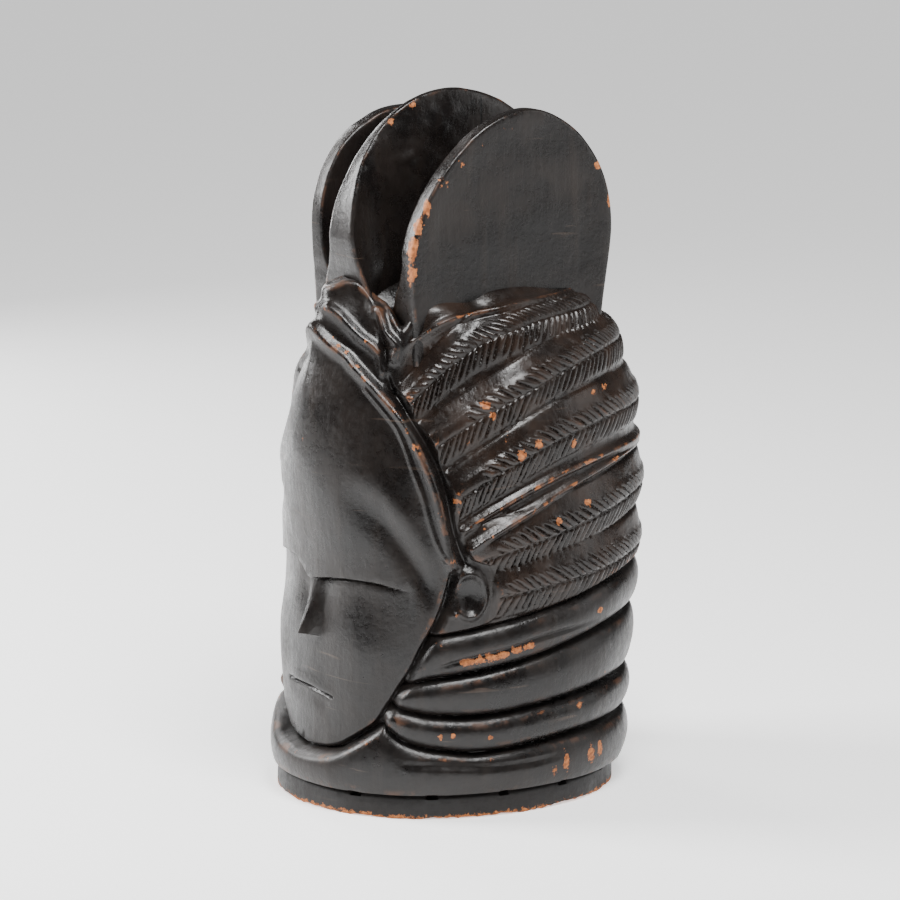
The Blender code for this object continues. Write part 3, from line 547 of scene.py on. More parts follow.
def relief(signed, z, points):
    """Height of the carving above the plain block."""
    degrees = np.abs(signed)
    folded = points.copy()
    folded[:, 0] = np.abs(folded[:, 0])
    in_face = ramp(face_limit(z) - degrees, -0.4, 0.8) * ramp(z, 0.034, 0.038)
    neck = neck_relief(signed, z)
    hair = hair_relief(degrees, z)
    hair_start = ramp(degrees - hair_limit(z), 0.0, 2.2)
    in_hair = ramp(z - smooth_line(NECK_GROOVES[0], degrees), -0.002, 0.003)
    fade_up = 1.0 - ramp(z, 0.290, 0.306)
    outside = in_hair * hair * hair_start * fade_up + (1.0 - in_hair) * neck
    lift = in_face * face_relief(signed, z, folded) + (1.0 - in_face) * outside
    lift += BORDER_LIFT * bump(distance_to(BORDER, folded), BORDER_WIDTH)
    lift += 0.40 * BORDER_LIFT * bump(distance_to(INNER_STEP, folded), 0.0014)
    lift -= BORDER_GROOVE_DEPTH * bump(distance_to(HAIRLINE, folded), 0.0020)
    jaw = distance_to(JAW, folded)
    jaw_width = np.where(face_limit(z) > degrees, 0.0012, 0.0038)
    lift -= JAW_GROOVE_DEPTH * bump(jaw, jaw_width)
    far_less = 1.0 - 0.85 * ramp(-signed, 1.0, 11.0)
    for line, size, width in zip(FOREHEAD_ROLLS, (0.9, 1.0, 1.2), (0.0034, 0.0030, 0.0028)):
        lift += size * KNOT_LIFT * bump(distance_to(line, folded), width) * far_less
    lift -= KNOT_VALLEY_DEPTH * bump(distance_to(KNOT_VALLEY, folded), 0.0017)
    peak = bump(folded[:, 0], 0.020) * ramp(z, 0.262, 0.302) * (1.0 - ramp(degrees, 50.0, 80.0))
    lift += PEAK_LIFT * peak * (1.0 - 0.75 * ramp(-signed, 2.0, 18.0))
    lift -= FAR_TEMPLE_CUT * bump(signed + 21.0, 14.0) * bump(z - 0.289, 0.022)
    shoulder = np.where(signed > 0.0, LEFT_SHOULDER, RIGHT_SHOULDER) * bump(degrees - 42.0, 17.0)
    lift += shoulder * bump(z - 0.294, 0.022) * (1.0 - 0.6 * ramp(z, 0.289, 0.301))
    knot_back = KNOT_BACK_REACH - 0.0090 * np.clip((folded[:, 0] - 0.005) / 0.020, 0.0, 1.0)
    behind_knot = ramp(folded[:, 1] + knot_back, 0.0, 0.0045) * (1.0 - ramp(folded[:, 0], 0.034, 0.042))
    lift -= GAP_DEPTH * behind_knot * ramp(z, 0.268, 0.288) * (1.0 - ramp(folded[:, 1], 0.060, 0.085))
    centre = head_point(EAR_ANGLE, EAR_HEIGHT)
    ear_x = (degrees - EAR_ANGLE) * math.radians(1.0) * np.linalg.norm(centre[:2])
    ear_z = z - EAR_HEIGHT
    around = np.hypot(ear_x / EAR_HALF_WIDTH, ear_z / EAR_HALF_HEIGHT)
    ring = bump((around - 1.0) * 0.5 * (EAR_HALF_WIDTH + EAR_HALF_HEIGHT), EAR_RING_WIDTH)
    lift += EAR_LIFT * ring * ramp(ear_x, -0.0085, -0.0045)
    lift -= EAR_PIT * bump(around, 0.55)
    knob = np.hypot(degrees - 53.4, (z - 0.1215) / 0.00170)
    lift += 0.0022 * bump(knob, 1.3)
    slot_gap = (degrees - SLOT_START + 0.5 * SLOT_SPACING) % SLOT_SPACING - 0.5 * SLOT_SPACING
    slot = 1.0 - ramp(np.abs(slot_gap), 1.4, 2.0)
    slot = slot * (1.0 - ramp(np.abs(z - RIM_HEIGHT + 0.0008), 0.0009, 0.0016))
    lift -= SLOT_DEPTH * slot * ramp(degrees, 8.0, 12.0)
    return lift


def tool_marks(points):
    """Low waves left by the adze and the knife."""
    marks = 0.00036 * noise(points, 0.023, 3) + 0.00014 * noise(points, 0.010, 8)
    return marks + 0.00005 * noise(points, 0.004, 21)


def blurred(grid, rows, columns):
    """Mean over a window of the grid, wrapping round it."""
    total = np.zeros_like(grid)
    for k in range(-columns, columns + 1):
        total += np.roll(grid, k, axis=1)
    total /= 2 * columns + 1
    padded = np.pad(total, ((rows, rows), (0, 0)), mode="edge")
    sums = np.cumsum(np.vstack([np.zeros((1, grid.shape[1])), padded]), axis=0)
    return (sums[2 * rows + 1:] - sums[:-2 * rows - 1]) / (2 * rows + 1)


def grid_quads(rows, columns, first):
    i = np.arange(rows - 1)[:, None] * columns
    j = np.arange(columns)[None, :]
    k = (j + 1) % columns
    quads = np.stack([i + j, i + k, i + columns + k, i + columns + j], -1)
    return quads.reshape(-1, 4) + first


def from_sky(azimuth, elevation, distance):
    """A place at a distance from the mask's middle; azimuth 0 is in front of the face, 90 on its left."""
    a = math.radians(azimuth)
    e = math.radians(elevation)
    return MIDDLE + distance * Vector((math.sin(a) * math.cos(e), -math.cos(a) * math.cos(e), math.sin(e)))


def make_object(name, points, quads, triangles=(), attributes=None):
    """A mesh from arrays of quads and triangles, with float attributes on its points."""
    quads = np.asarray(quads, np.int64).reshape(-1, 4)
    triangles = np.asarray(triangles, np.int64).reshape(-1, 3)
    loops = np.concatenate([quads.reshape(-1), triangles.reshape(-1)])
    sizes = np.concatenate([np.full(len(quads), 4), np.full(len(triangles), 3)])
    starts = np.concatenate([[0], np.cumsum(sizes)[:-1]])
    mesh = bpy.data.meshes.new(name)
    mesh.vertices.add(len(points))
    shifted = points + np.array([0.0, AXIS_SHIFT, 0.0])
    mesh.vertices.foreach_set("co", shifted.astype(np.float32).reshape(-1))
    mesh.loops.add(len(loops))
    mesh.loops.foreach_set("vertex_index", loops.astype(np.int32))
    mesh.polygons.add(len(sizes))
    mesh.polygons.foreach_set("loop_start", starts.astype(np.int32))
    mesh.update(calc_edges=True)
    mesh.validate()
    for key, values in (attributes or {}).items():
        layer = mesh.attributes.new(key, "FLOAT", "POINT")
        layer.data.foreach_set("value", values.astype(np.float32))
    made = bpy.data.objects.new(name, mesh)
    bpy.context.scene.collection.objects.link(made)
    return made


def make_head():
    """The carved block with its hollow, as one closed surface."""
    heights_table, length = PROFILE
    climbs = np.linspace(0.0, length[-1], ROWS, endpoint=False)
    heights = np.interp(climbs, length, heights_table)
    degrees = np.linspace(-180.0, 180.0, COLUMNS, endpoint=False)
    grid_degrees, grid_z = np.meshgrid(degrees, heights)
    flat = head_point(grid_degrees, grid_z)
    around = np.roll(flat, -1, axis=1) - np.roll(flat, 1, axis=1)
    upward = np.gradient(flat, axis=0)
    normal = np.cross(around, upward)
    normal /= np.linalg.norm(normal, axis=2, keepdims=True)
    plain = flat.reshape(-1, 3)
    lift = relief(grid_degrees.reshape(-1), grid_z.reshape(-1), plain)
    lift += tool_marks(plain)
    lift = lift.reshape(grid_z.shape)
    ridge = np.clip((lift - blurred(lift, 8, 8)) / 0.0016, -1.0, 1.0)
    ridge -= 0.7 * ramp(face_limit(grid_z) - np.abs(grid_degrees), 2.0, 5.0)
    points = flat + normal * lift[..., None]
    floor = points[:, :, 2] < 0.0
    points[floor, 2] = 0.0
    ring = np.radians(degrees)
    circle = np.stack([np.cos(ring), np.sin(ring), 0.0 * ring], -1)
    ragged = 0.0007 + 0.0009 * noise(9.0 * circle, 1.0, 5)
    ragged += 0.0005 * noise(40.0 * circle, 1.0, 6)
    ragged = np.maximum(ragged, 0.0)
    points[0, :, 2] = ragged
    points[1:6, :, 2] = np.maximum(points[1:6, :, 2], ragged + 0.0002 * np.arange(1, 6)[:, None])
    outer_count = points.shape[0] * COLUMNS
    outer = np.vstack([points.reshape(-1, 3), [[0.0, 0.0, DOME_TOP]]])
    top = DOME_TOP - CROWN_WALL
    turn = np.linspace(0.0, math.pi / 2, INSIDE_ROWS - INSIDE_STRAIGHT_ROWS, endpoint=False)
    straight = np.linspace(0.0, DOME_START, INSIDE_STRAIGHT_ROWS, endpoint=False)
    domed = DOME_START + (top - DOME_START) * np.sin(turn) ** (2.0 / SIDE_DOME_POWER)
    inner_degrees, inner_z = np.meshgrid(degrees, np.concatenate([straight, domed]))
    angle = np.radians(inner_degrees)
    up = np.clip((inner_z - DOME_START) / (top - DOME_START), 0.0, 1.0)
    shrink = (1.0 - up**SIDE_DOME_POWER) ** (1.0 / SIDE_DOME_POWER)
    half = (HEAD_HALF_WIDTH - WALL) * shrink
    front = (FACE_REACH - 1.25 * WALL) * shrink
    nape = NAPE_REACH - WALL
    back = (nape + (CROWN_BACK_REACH - WALL - nape) * ramp(inner_z, 0.0, DOME_START)) * shrink
    reach = np.where(np.cos(angle) > 0, front, back)
    radius = (np.abs(np.sin(angle) / half) ** 2.1 + np.abs(np.cos(angle) / reach) ** 2.1) ** (-1.0 / 2.1)
    inside = np.stack([radius * np.sin(angle), -radius * np.cos(angle), inner_z], -1)
    gouges = 0.0007 * np.abs(noise(inside * np.array([1.0, 1.0, 0.45]), 0.012, 4))
    gouges = gouges * ramp(inner_z, 0.001, 0.006)
    inside[..., :2] *= (1.0 + gouges / 0.09)[..., None]
    inner = np.vstack([inside.reshape(-1, 3), [[0.0, 0.0, top]]])
    inner_first = len(outer)
    quads = [grid_quads(ROWS, COLUMNS, 0)]
    inner_quads = grid_quads(INSIDE_ROWS, COLUMNS, inner_first)
    quads.append(inner_quads[:, ::-1])
    j = np.arange(COLUMNS)
    k = (j + 1) % COLUMNS
    quads.append(np.stack([k, j, inner_first + j, inner_first + k], -1))
    last = (ROWS - 1) * COLUMNS
    cap = np.stack([last + j, last + k, np.full(COLUMNS, outer_count)], -1)
    inner_last = inner_first + (INSIDE_ROWS - 1) * COLUMNS
    inner_top = inner_first + INSIDE_ROWS * COLUMNS
    inner_cap = np.stack([inner_last + k, inner_last + j, np.full(COLUMNS, inner_top)], -1)
    hairy = ramp(np.abs(grid_degrees) - hair_limit(grid_z), 0.0, 2.5)
    hairy = hairy * ramp(grid_z - smooth_line(NECK_GROOVES[0], np.abs(grid_degrees)), -0.002, 0.003)
    hairy = hairy * (1.0 - ramp(grid_z, 0.300, 0.306))
    layers = {}
    for key, values in (("ridge", ridge), ("hair", hairy)):
        layers[key] = np.zeros(len(outer) + len(inner))
        layers[key][:len(outer) - 1] = values.reshape(-1)
    caps = np.vstack([cap, inner_cap])
    return make_object("carved_head", np.vstack([outer, inner]), np.vstack(quads), caps, layers)


def thinned(made, triangles):
    """The same object with its smooth parts in fewer, larger faces."""
    count = sum(len(face.vertices) - 2 for face in made.data.polygons)
    fewer = made.modifiers.new("fewer", "DECIMATE")
    fewer.ratio = min(1.0, triangles / count)
    fewer.use_collapse_triangulate = True
    bake(made)
    return made


def bake(made):
    """Leaves the object with the mesh that its modifiers give."""
    graph = bpy.context.evaluated_depsgraph_get()
    mesh = bpy.data.meshes.new_from_object(made.evaluated_get(graph))
    old = made.data
    made.modifiers.clear()
    made.data = mesh
    bpy.data.meshes.remove(old)


def closed_outline(centre, half_length, rise, necking, lean_back, roundness, steps, foot_steps):
    """Points round an upright disc and back along its foot, evenly spaced."""
    turn = np.linspace(0.0, math.pi, 400)
    cosine = np.cos(turn)
    across = np.sign(cosine) * np.abs(cosine) ** (2.0 / roundness)
    up = rise * np.sin(turn) ** (2.0 / roundness)
    y = centre[0] - half_length * across + lean_back * up
    z = centre[1] + up
    y = np.concatenate([[centre[0] - half_length + necking[0]], y, [centre[0] + half_length - necking[1]]])
    z = np.concatenate([[LOBE_FOOT_Z], z, [LOBE_FOOT_Z]])
    length = np.concatenate([[0.0], np.cumsum(np.hypot(np.diff(y), np.diff(z)))])
    even = np.linspace(0.0, length[-1], steps)
    foot = np.linspace(y[-1], y[0], foot_steps + 2)[1:-1]
    rim_y = np.concatenate([np.interp(even, length, y), foot])
    rim_z = np.concatenate([np.interp(even, length, z), np.full(foot_steps, LOBE_FOOT_Z)])
    return rim_y, rim_z


def disc(name, rim, middle, width, section, seed, carve):
    """A disc whose section runs from the middle of one face over the rim to the middle of the other.

    section lists (inward share of the radius, inward distance, share across); width gives the two faces' x.
    """
    rim_y, rim_z = rim
    away_y = rim_y - middle[0]
    away_z = rim_z - middle[1]
    away = np.hypot(away_y, away_z)
    above = ramp(rim_z, LOBE_FOOT_Z + 0.001, LOBE_FOOT_Z + 0.010)
    spots = np.stack([0.0 * rim_y, rim_y, rim_z], -1)
    nick = 0.0005 * noise(spots, 0.024, seed) + 0.00022 * noise(spots, 0.007, seed + 1)
    layers = []
    bare = []
    for share, distance, across in section:
        inward = share * away + distance + nick * above * (1.0 - share)
        inward = np.minimum(inward, away * 0.995)
        y = rim_y - away_y / away * inward
        z = rim_z - away_z / away * inward
        low, high = width(y, z, inward)
        x = low + (high - low) * across
        face = 1.0 - 2.0 * (across > 0.5)
        depth = carve(np.stack([x, y, z], -1), inward) * (abs(across - 0.5) > 0.49)
        layers.append(np.stack([x + face * depth, y, z], -1))
        edge = math.exp(-((abs(across - 0.5) - 0.45) / 0.06) ** 2) * (share < 0.001)
        bare.append(np.full(len(rim_y), 0.75 * edge * (distance < 0.003)))
    count = len(rim_y)
    rows = len(layers)
    points = np.vstack(layers)
    first = layers[0].mean(axis=0)
    last = layers[-1].mean(axis=0)
    points = np.vstack([points, [first], [last]])
    quads = grid_quads(rows, count, 0)
    j = np.arange(count)
    k = (j + 1) % count
    caps = np.vstack([
        np.stack([k, j, np.full(count, rows * count)], -1),
        np.stack([(rows - 1) * count + j, (rows - 1) * count + k, np.full(count, rows * count + 1)], -1),
    ])
    ridge = np.concatenate([np.concatenate(bare), [0.0, 0.0]])
    made = make_object(name, points, quads, caps, {"ridge": ridge})
    if signed_volume(made) < 0:
        made.data.flip_normals()
    return made


def signed_volume(made):
    mesh = made.data
    mesh.calc_loop_triangles()
    spots = np.empty(len(mesh.vertices) * 3, np.float32)
    mesh.vertices.foreach_get("co", spots)
    spots = spots.reshape(-1, 3).astype(float)
    corners = np.empty(len(mesh.loop_triangles) * 3, np.int32)
    mesh.loop_triangles.foreach_get("vertices", corners)
    corners = corners.reshape(-1, 3)
    a, b, c = spots[corners[:, 0]], spots[corners[:, 1]], spots[corners[:, 2]]
    return float(np.einsum("ij,ij->i", a, np.cross(b, c)).sum() / 6.0)


def face_shares(rings):
    """Shares of the radius from the middle of a face almost to its rim, closer together near the rim."""
    t = np.linspace(0.0, 1.0, rings)
    return list((1.0 - t) ** 1.2 * 0.985)[:-1]


def lobe_section(rings, edge):
    inner = [(share, 0.0045, 0.0) for share in face_shares(rings)]
    inner += [(0.0, 0.0045, 0.0), (0.0, 0.0032, 0.0), (0.0, edge, 0.0), (0.0, 0.45 * edge, 0.03),
              (0.0, 0.10 * edge, 0.09), (0.0, 0.0, 0.18), (0.0, 0.0, 0.34), (0.0, 0.0, 0.5)]
    outer = [(share, distance, 1.0 - across) for share, distance, across in reversed(inner[:-1])]
    return inner + outer


def make_side_lobe(name, side, rise, lean_back, roundness, seed):
    necking = (LOBE_FRONT_NECKING, LOBE_BACK_NECKING)
    rim = closed_outline(LOBE_CENTRE, LOBE_HALF_LENGTH, rise, necking, lean_back, roundness, 260, 60)
    top = LOBE_CENTRE[1] + rise
    middle = (LOBE_CENTRE[0], 0.5 * (LOBE_FOOT_Z + top))

    def width(y, z, inward):
        up = (z - LOBE_FOOT_Z) / (top - LOBE_FOOT_Z)
        thick = LOBE_FOOT_THICKNESS + (LOBE_TOP_THICKNESS - LOBE_FOOT_THICKNESS) * up
        flare = LOBE_FOOT_FLARE * (1.0 - ramp(z, 0.286, 0.328)) * ramp(-y, 0.030, 0.060)
        outer = LOBE_OUTER_X - 0.0007 * ramp(inward, 0.002, 0.022)
        inner = LOBE_OUTER_X - thick + 0.0006 * ramp(inward, 0.002, 0.022)
        inner = inner - flare * (1.0 - np.clip(inward / 0.022, 0.0, 1.0))
        if side > 0:
            return inner, outer
        return -outer, -inner

    def carve(spots, inward):
        marks = 0.00022 * noise(spots * np.array([1.0, 0.8, 1.2]), 0.018, seed + 2)
        marks += 0.00007 * noise(spots, 0.005, seed + 3)
        return marks * ramp(inward, 0.0005, 0.0040)

    made = disc(name, rim, middle, width, lobe_section(34, 0.0016), seed, carve)
    return thinned(made, LOBE_TRIANGLES)


def make_crest():
    necking = (CREST_FRONT_NECKING, 0.0)
    rim = closed_outline(CREST_CENTRE, CREST_HALF_LENGTH, CREST_RISE, necking, 0.0, 2.0, 300, 60)
    middle = (CREST_CENTRE[0], 0.5 * (LOBE_FOOT_Z + MASK_HEIGHT))

    def width(y, z, inward):
        up = np.clip((z - 0.300) / (MASK_HEIGHT - 0.300), 0.0, 1.0)
        front = ramp(CREST_CENTRE[0] - y, 0.35 * CREST_HALF_LENGTH, 0.95 * CREST_HALF_LENGTH)
        rim_width = CREST_TOP_THICKNESS
        rim_width = rim_width + (CREST_FOOT_THICKNESS - CREST_TOP_THICKNESS) * front * (1.0 - up) ** 1.2
        rim_width = rim_width + CREST_FOOT_FLARE * front * (1.0 - ramp(z, 0.296, 0.328))
        web = CREST_WEB_THICKNESS + 0.22 * (rim_width - CREST_TOP_THICKNESS)
        high = ramp(z, 0.350, 0.375) * ramp(-y, -0.015, 0.030)
        rim_width = rim_width - 0.0038 * high
        web = web + 0.0030 * high
        facet = 0.0030 + 0.0235 * bump(up - 0.28, 0.34) + 0.0160 * high
        blend = np.clip((inward - 0.0010) / facet, 0.0, 1.0)
        thick = rim_width + (web - rim_width) * blend
        return -0.5 * thick, 0.5 * thick

    def carve(spots, inward):
        high = ramp(spots[:, 2], 0.345, 0.375) * ramp(-spots[:, 1], -0.010, 0.030)
        marks = 0.00018 * noise(spots, 0.016, 41)
        marks += CREST_DAPPLES * high * noise(spots * np.array([1.0, 1.0, 1.4]), 0.008, 42)
        marks += 0.00006 * noise(spots, 0.004, 43)
        return marks * ramp(inward, 0.0003, 0.0030)

    made = disc("crest", rim, middle, width, lobe_section(44, 0.0016), 45, carve)
    return thinned(made, LOBE_TRIANGLES)


class Wood:
    """Builds the node tree of the stained and worn wood."""

    def __init__(self, name):
        self.material = bpy.data.materials.new(name)
        self.material.use_nodes = True
        self.tree = self.material.node_tree
        self.shader = self.tree.nodes["Principled BSDF"]
        self.object_space = self.add("ShaderNodeTexCoord").outputs["Object"]

    def add(self, kind, **settings):
        node = self.tree.nodes.new(kind)
        for key, value in settings.items():
            setattr(node, key, value)
        return node

    def put(self, target, value):
        if isinstance(value, bpy.types.NodeSocket):
            self.tree.links.new(value, target)
        else:
            target.default_value = value

    def noise(self, scale, detail=4.0, rough=0.55, stretch=None, distortion=0.0):
        place = self.object_space
        if stretch is not None:
            mapping = self.add("ShaderNodeMapping")
            mapping.inputs["Scale"].default_value = stretch
            self.put(mapping.inputs["Vector"], place)
            place = mapping.outputs["Vector"]
        node = self.add("ShaderNodeTexNoise")
        self.put(node.inputs["Vector"], place)
        values = (("Scale", scale), ("Detail", detail), ("Roughness", rough), ("Distortion", distortion))
        for key, value in values:
            node.inputs[key].default_value = value
        return node.outputs["Fac"]

    def steps(self, value, low, high, to_low=0.0, to_high=1.0):
        node = self.add("ShaderNodeMapRange", interpolation_type="SMOOTHSTEP")
        self.put(node.inputs["Value"], value)
        for key, bound in (("From Min", low), ("From Max", high), ("To Min", to_low), ("To Max", to_high)):
            node.inputs[key].default_value = bound
        return node.outputs["Result"]

    def sum(self, operation, a, b, c=None):
        node = self.add("ShaderNodeMath", operation=operation)
        self.put(node.inputs[0], a)
        self.put(node.inputs[1], b)
        if c is not None:
            self.put(node.inputs[2], c)
        return node.outputs["Value"]

    def mix(self, share, a, b):
        node = self.add("ShaderNodeMix", data_type="RGBA")
        self.put(node.inputs["Factor"], share)
        self.put(node.inputs["A"], a)
        self.put(node.inputs["B"], b)
        return node.outputs["Result"]

    def spot(self, centre, size):
        """1 in the middle of an ellipsoid, 0 outside it."""
        mapping = self.add("ShaderNodeMapping", vector_type="TEXTURE")
        mapping.inputs["Location"].default_value = centre
        mapping.inputs["Scale"].default_value = size
        self.put(mapping.inputs["Vector"], self.object_space)
        node = self.add("ShaderNodeTexGradient", gradient_type="QUADRATIC_SPHERE")
        self.put(node.inputs["Vector"], mapping.outputs["Vector"])
        return node.outputs["Fac"]


def chip_places():
    """Middles and half sizes of the places where the stain has chipped off."""
    places = []
    for degrees, z, across, high in HEAD_CHIPS:
        x, y, z = head_point(degrees, z)
        away = 1.0 + 0.0030 / math.hypot(x, y)
        middle = (x * away, y * away + AXIS_SHIFT, z)
        in_hair = z > HAIR_CHIPS_ABOVE and degrees > HAIR_CHIPS_BEYOND
        larger = HAIR_CHIP_GROWTH if in_hair else 1.0
        places.append((middle, (larger * across, larger * across, larger * high)))
    return places + list(LOBE_CHIPS)


def make_wood():
    wood = Wood("dark_carved_wood")
    ridge = wood.add("ShaderNodeAttribute", attribute_name="ridge").outputs["Fac"]
    hair = wood.add("ShaderNodeAttribute", attribute_name="hair").outputs["Fac"]
    parts = wood.add("ShaderNodeSeparateXYZ")
    wood.put(parts.inputs["Vector"], wood.object_space)
    height = parts.outputs["Z"]
    broad = wood.noise(28.0, 5.0)
    fine = wood.noise(260.0, 5.0, 0.65)
    grain = wood.noise(90.0, 5.0, 0.6, (1.0, 1.0, 0.12))

    # The stain, warmer in the hair, and brown or bare where ridges are rubbed
    stain = wood.mix(wood.steps(broad, 0.35, 0.70), DARK_STAIN, THIN_STAIN)
    stain = wood.mix(wood.steps(grain, 0.50, 0.75, 0.0, 0.50), stain, GRAIN_STAIN)
    warm = wood.sum("MULTIPLY", hair, wood.steps(wood.noise(55.0, 4.0), 0.40, 0.70, 0.25, 1.0))
    stain = wood.mix(wood.sum("MULTIPLY", warm, 0.75), stain, WARM_STAIN)
    patches = wood.steps(wood.noise(75.0, 5.0, 0.62), 0.50, 0.62)
    worn = wood.sum("MULTIPLY", wood.steps(ridge, 0.25, 0.90), patches)
    brown = wood.mix(wood.sum("MULTIPLY", worn, 0.8), stain, RUBBED_BROWN)
    flaked = wood.sum("MULTIPLY_ADD", hair, 0.065, wood.noise(120.0, 6.0, 0.7))
    bare = wood.sum("MULTIPLY", wood.steps(ridge, 0.45, 0.95), wood.steps(flaked, 0.60, 0.65))
    colour = wood.mix(wood.sum("MULTIPLY", bare, 0.85), brown, BARE_WOOD)

    # Scratches, painted shade for the crack in the crest, and the dull rim
    scratched = wood.steps(wood.noise(240.0, 2.0, 0.5, (0.07, 0.07, 1.0), 0.6), 0.665, 0.72, 0.0, 0.45)
    scratched = wood.sum("MULTIPLY", scratched, wood.steps(wood.noise(22.0, 2.0), 0.45, 0.60))
    colour = wood.mix(scratched, colour, SCRATCH)
    # The crack is not carved: a near-black painted shade stands in for the dark inside it
    painted_crack_shade = wood.steps(wood.spot(*CREST_CRACK), 0.02, 0.12)
    colour = wood.mix(painted_crack_shade, colour, CRACK_SHADE)
    rim = wood.steps(height, RIM_HEIGHT + 0.0003, RIM_HEIGHT - 0.0006)
    colour = wood.mix(wood.sum("MULTIPLY", rim, 0.55), colour, DARK_STAIN)

    # Chips down to the raw wood, also along the bottom edge
    ragged = wood.sum("SUBTRACT", wood.noise(330.0, 6.0, 0.7), 0.5)
    first_chip, *more_chips = chip_places()
    chips = wood.spot(*first_chip)
    for place in more_chips:
        chips = wood.sum("MAXIMUM", chips, wood.spot(*place))
    chipped = wood.steps(wood.sum("MULTIPLY_ADD", ragged, 1.5, chips), 0.24, 0.30)
    chipped = wood.sum("MULTIPLY", chipped, wood.steps(chips, 0.01, 0.05))
    foot = wood.sum("MULTIPLY_ADD", ragged, 0.012, height)
    chipped = wood.sum("MAXIMUM", chipped, wood.steps(foot, 0.0022, 0.0012))
    raw = wood.mix(wood.steps(wood.noise(500.0, 4.0), 0.35, 0.65), RAW_WOOD, PALE_RAW_WOOD)
    wood.put(wood.shader.inputs["Base Color"], wood.mix(chipped, colour, raw))

    # Roughness, higher where the wood is worn, low on the neck, on the rim and in the chips
    rough = wood.steps(broad, 0.3, 0.7, 0.20, 0.36)
    for more in (wood.steps(fine, 0.35, 0.75, -0.03, 0.10),
                 wood.sum("MULTIPLY", worn, 0.12),
                 wood.steps(height, 0.128, 0.105, 0.0, 0.07),
                 wood.sum("MULTIPLY", rim, 0.16),
                 wood.sum("MULTIPLY", chipped, 0.30)):
        rough = wood.sum("ADD", rough, more)
    wood.put(wood.shader.inputs["Roughness"], rough)
    wood.shader.inputs["Specular IOR Level"].default_value = 0.38

    # Fine grain in the surface
    bump_node = wood.add("ShaderNodeBump")
    bump_node.inputs["Strength"].default_value = 0.70
    bump_node.inputs["Distance"].default_value = 0.0008
    texture = wood.sum("ADD", wood.sum("MULTIPLY", fine, 0.5), wood.sum("MULTIPLY", grain, 0.9))
    wood.put(bump_node.inputs["Height"], texture)
    wood.put(wood.shader.inputs["Normal"], bump_node.outputs["Normal"])
    return wood.material


def join(name, parts):
    """One object from several, keeping the first one's attributes."""
    for other in bpy.context.selected_objects:
        other.select_set(False)
    for part in parts:
        part.select_set(True)
    bpy.context.view_layer.objects.active = parts[0]
    bpy.ops.object.join()
    parts[0].name = name
    parts[0].data.name = name
    return parts[0]


def make_mask():
    head = thinned(make_head(), HEAD_TRIANGLES)
    crest = make_crest()
    lobes = [make_side_lobe(*lobe) for lobe in SIDE_LOBES]
    mask = join("carved_mask", [head, crest, *lobes])
    mask.data.materials.append(make_wood())
    mask.data.shade_smooth()
    mask.data.set_sharp_from_angle(angle=math.radians(42.0))
    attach(mask, "root")
    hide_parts("helmet_mask")
    print("triangles", sum(len(face.vertices) - 2 for face in mask.data.polygons))
    return mask


def plain_material(name, colour, roughness):
    material = bpy.data.materials.new(name)
    material.use_nodes = True
    shader = material.node_tree.nodes["Principled BSDF"]
    shader.inputs["Base Color"].default_value = (*colour, 1.0)
    shader.inputs["Roughness"].default_value = roughness
    return material


def make_floor():
    side = 40.0
    corners = [(-side, -side, 0.0), (side, -side, 0.0), (side, side, 0.0), (-side, side, 0.0)]
    mesh = bpy.data.meshes.new("floor")
    mesh.from_pydata(corners, [], [(0, 1, 2, 3)])
    floor = bpy.data.objects.new("floor", mesh)
    bpy.context.scene.collection.objects.link(floor)
    pale = plain_material("pale_floor", (0.86, 0.86, 0.86), 0.7)
    shader = pale.node_tree.nodes["Principled BSDF"]
    shader.inputs["Emission Color"].default_value = (1.0, 1.0, 1.0, 1.0)
    shader.inputs["Emission Strength"].default_value = FLOOR_GLOW
    mesh.materials.append(pale)


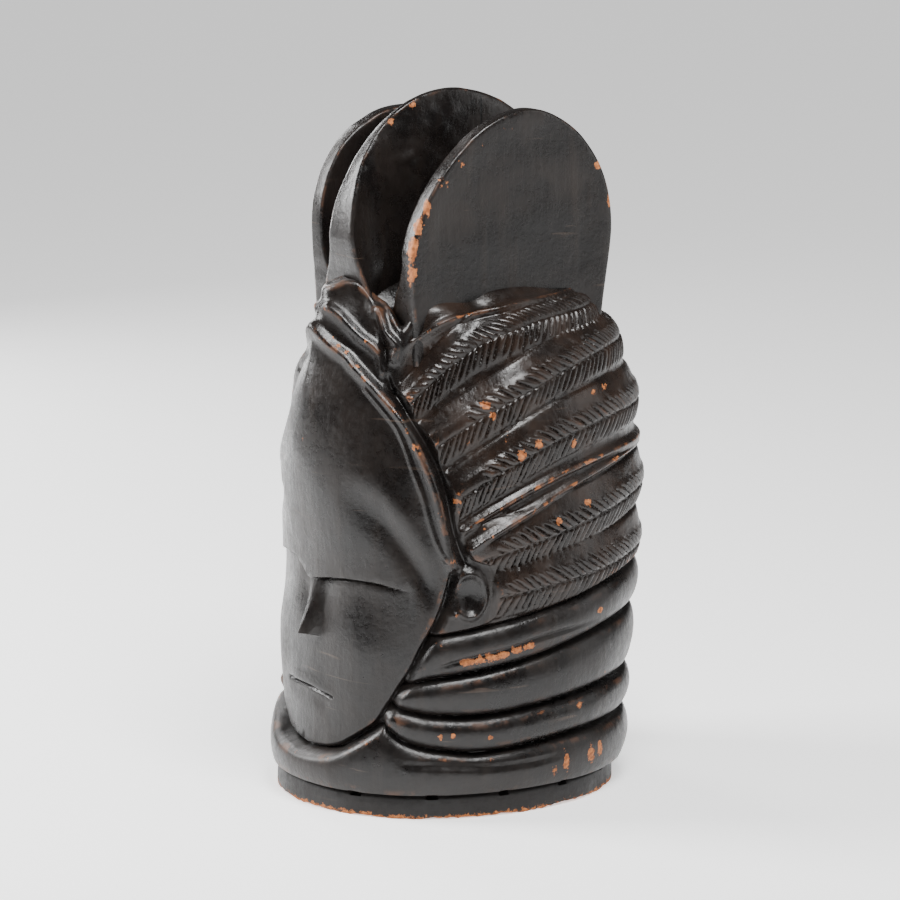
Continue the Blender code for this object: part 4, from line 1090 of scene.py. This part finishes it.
def camera_axes():
    azimuth = math.radians(CAMERA_AZIMUTH)
    elevation = math.radians(CAMERA_ELEVATION)
    back = Vector((math.sin(azimuth) * math.cos(elevation), -math.cos(azimuth) * math.cos(elevation),
                   math.sin(elevation)))
    right = Vector((math.cos(azimuth), math.sin(azimuth), 0.0))
    return back, right, back.cross(right)


def make_camera():
    back, right, up = camera_axes()
    data = bpy.data.cameras.new("camera")
    data.lens = CAMERA_LENS
    data.sensor_width = 36.0
    camera = bpy.data.objects.new("camera", data)
    bpy.context.scene.collection.objects.link(camera)
    camera.location = Vector(AIM) + back * CAMERA_DISTANCE - right * AIM_RIGHT - up * AIM_UP
    camera.rotation_mode = "QUATERNION"
    camera.rotation_quaternion = Matrix((right, up, back)).transposed().to_quaternion()
    bpy.context.scene.camera = camera


def soft_light(name, place, width, height, power):
    data = bpy.data.lights.new(name, "AREA")
    data.shape = "RECTANGLE"
    data.size = width
    data.size_y = height
    data.energy = power
    light = bpy.data.objects.new(name, data)
    bpy.context.scene.collection.objects.link(light)
    light.location = place
    aim = MIDDLE - place
    light.rotation_mode = "QUATERNION"
    light.rotation_quaternion = aim.to_track_quat("-Z", "Y")


def make_lights():
    world = bpy.data.worlds.new("studio")
    world.use_nodes = True
    nodes = world.node_tree.nodes
    links = world.node_tree.links
    backdrop = from_sky(BACKDROP_AZIMUTH, 0.0, 1.0) - MIDDLE
    direction = nodes.new("ShaderNodeTexCoord").outputs["Generated"]
    toward = nodes.new("ShaderNodeVectorMath")
    toward.operation = "DOT_PRODUCT"
    links.new(direction, toward.inputs[0])
    toward.inputs[1].default_value = backdrop
    brightness = nodes.new("ShaderNodeMapRange")
    brightness.interpolation_type = "SMOOTHSTEP"
    brightness.inputs["From Min"].default_value = -0.3
    brightness.inputs["From Max"].default_value = 0.8
    brightness.inputs["To Min"].default_value = ROOM_BRIGHTNESS
    brightness.inputs["To Max"].default_value = BACKDROP_BRIGHTNESS
    links.new(toward.outputs["Value"], brightness.inputs["Value"])
    links.new(brightness.outputs["Result"], nodes["Background"].inputs["Strength"])
    bpy.context.scene.world = world
    for name, azimuth, elevation, distance, width, height, power in SOFT_LIGHTS:
        soft_light(name, from_sky(azimuth, elevation, distance), width, height, power)


make_mask()
make_floor()
make_camera()
make_lights()
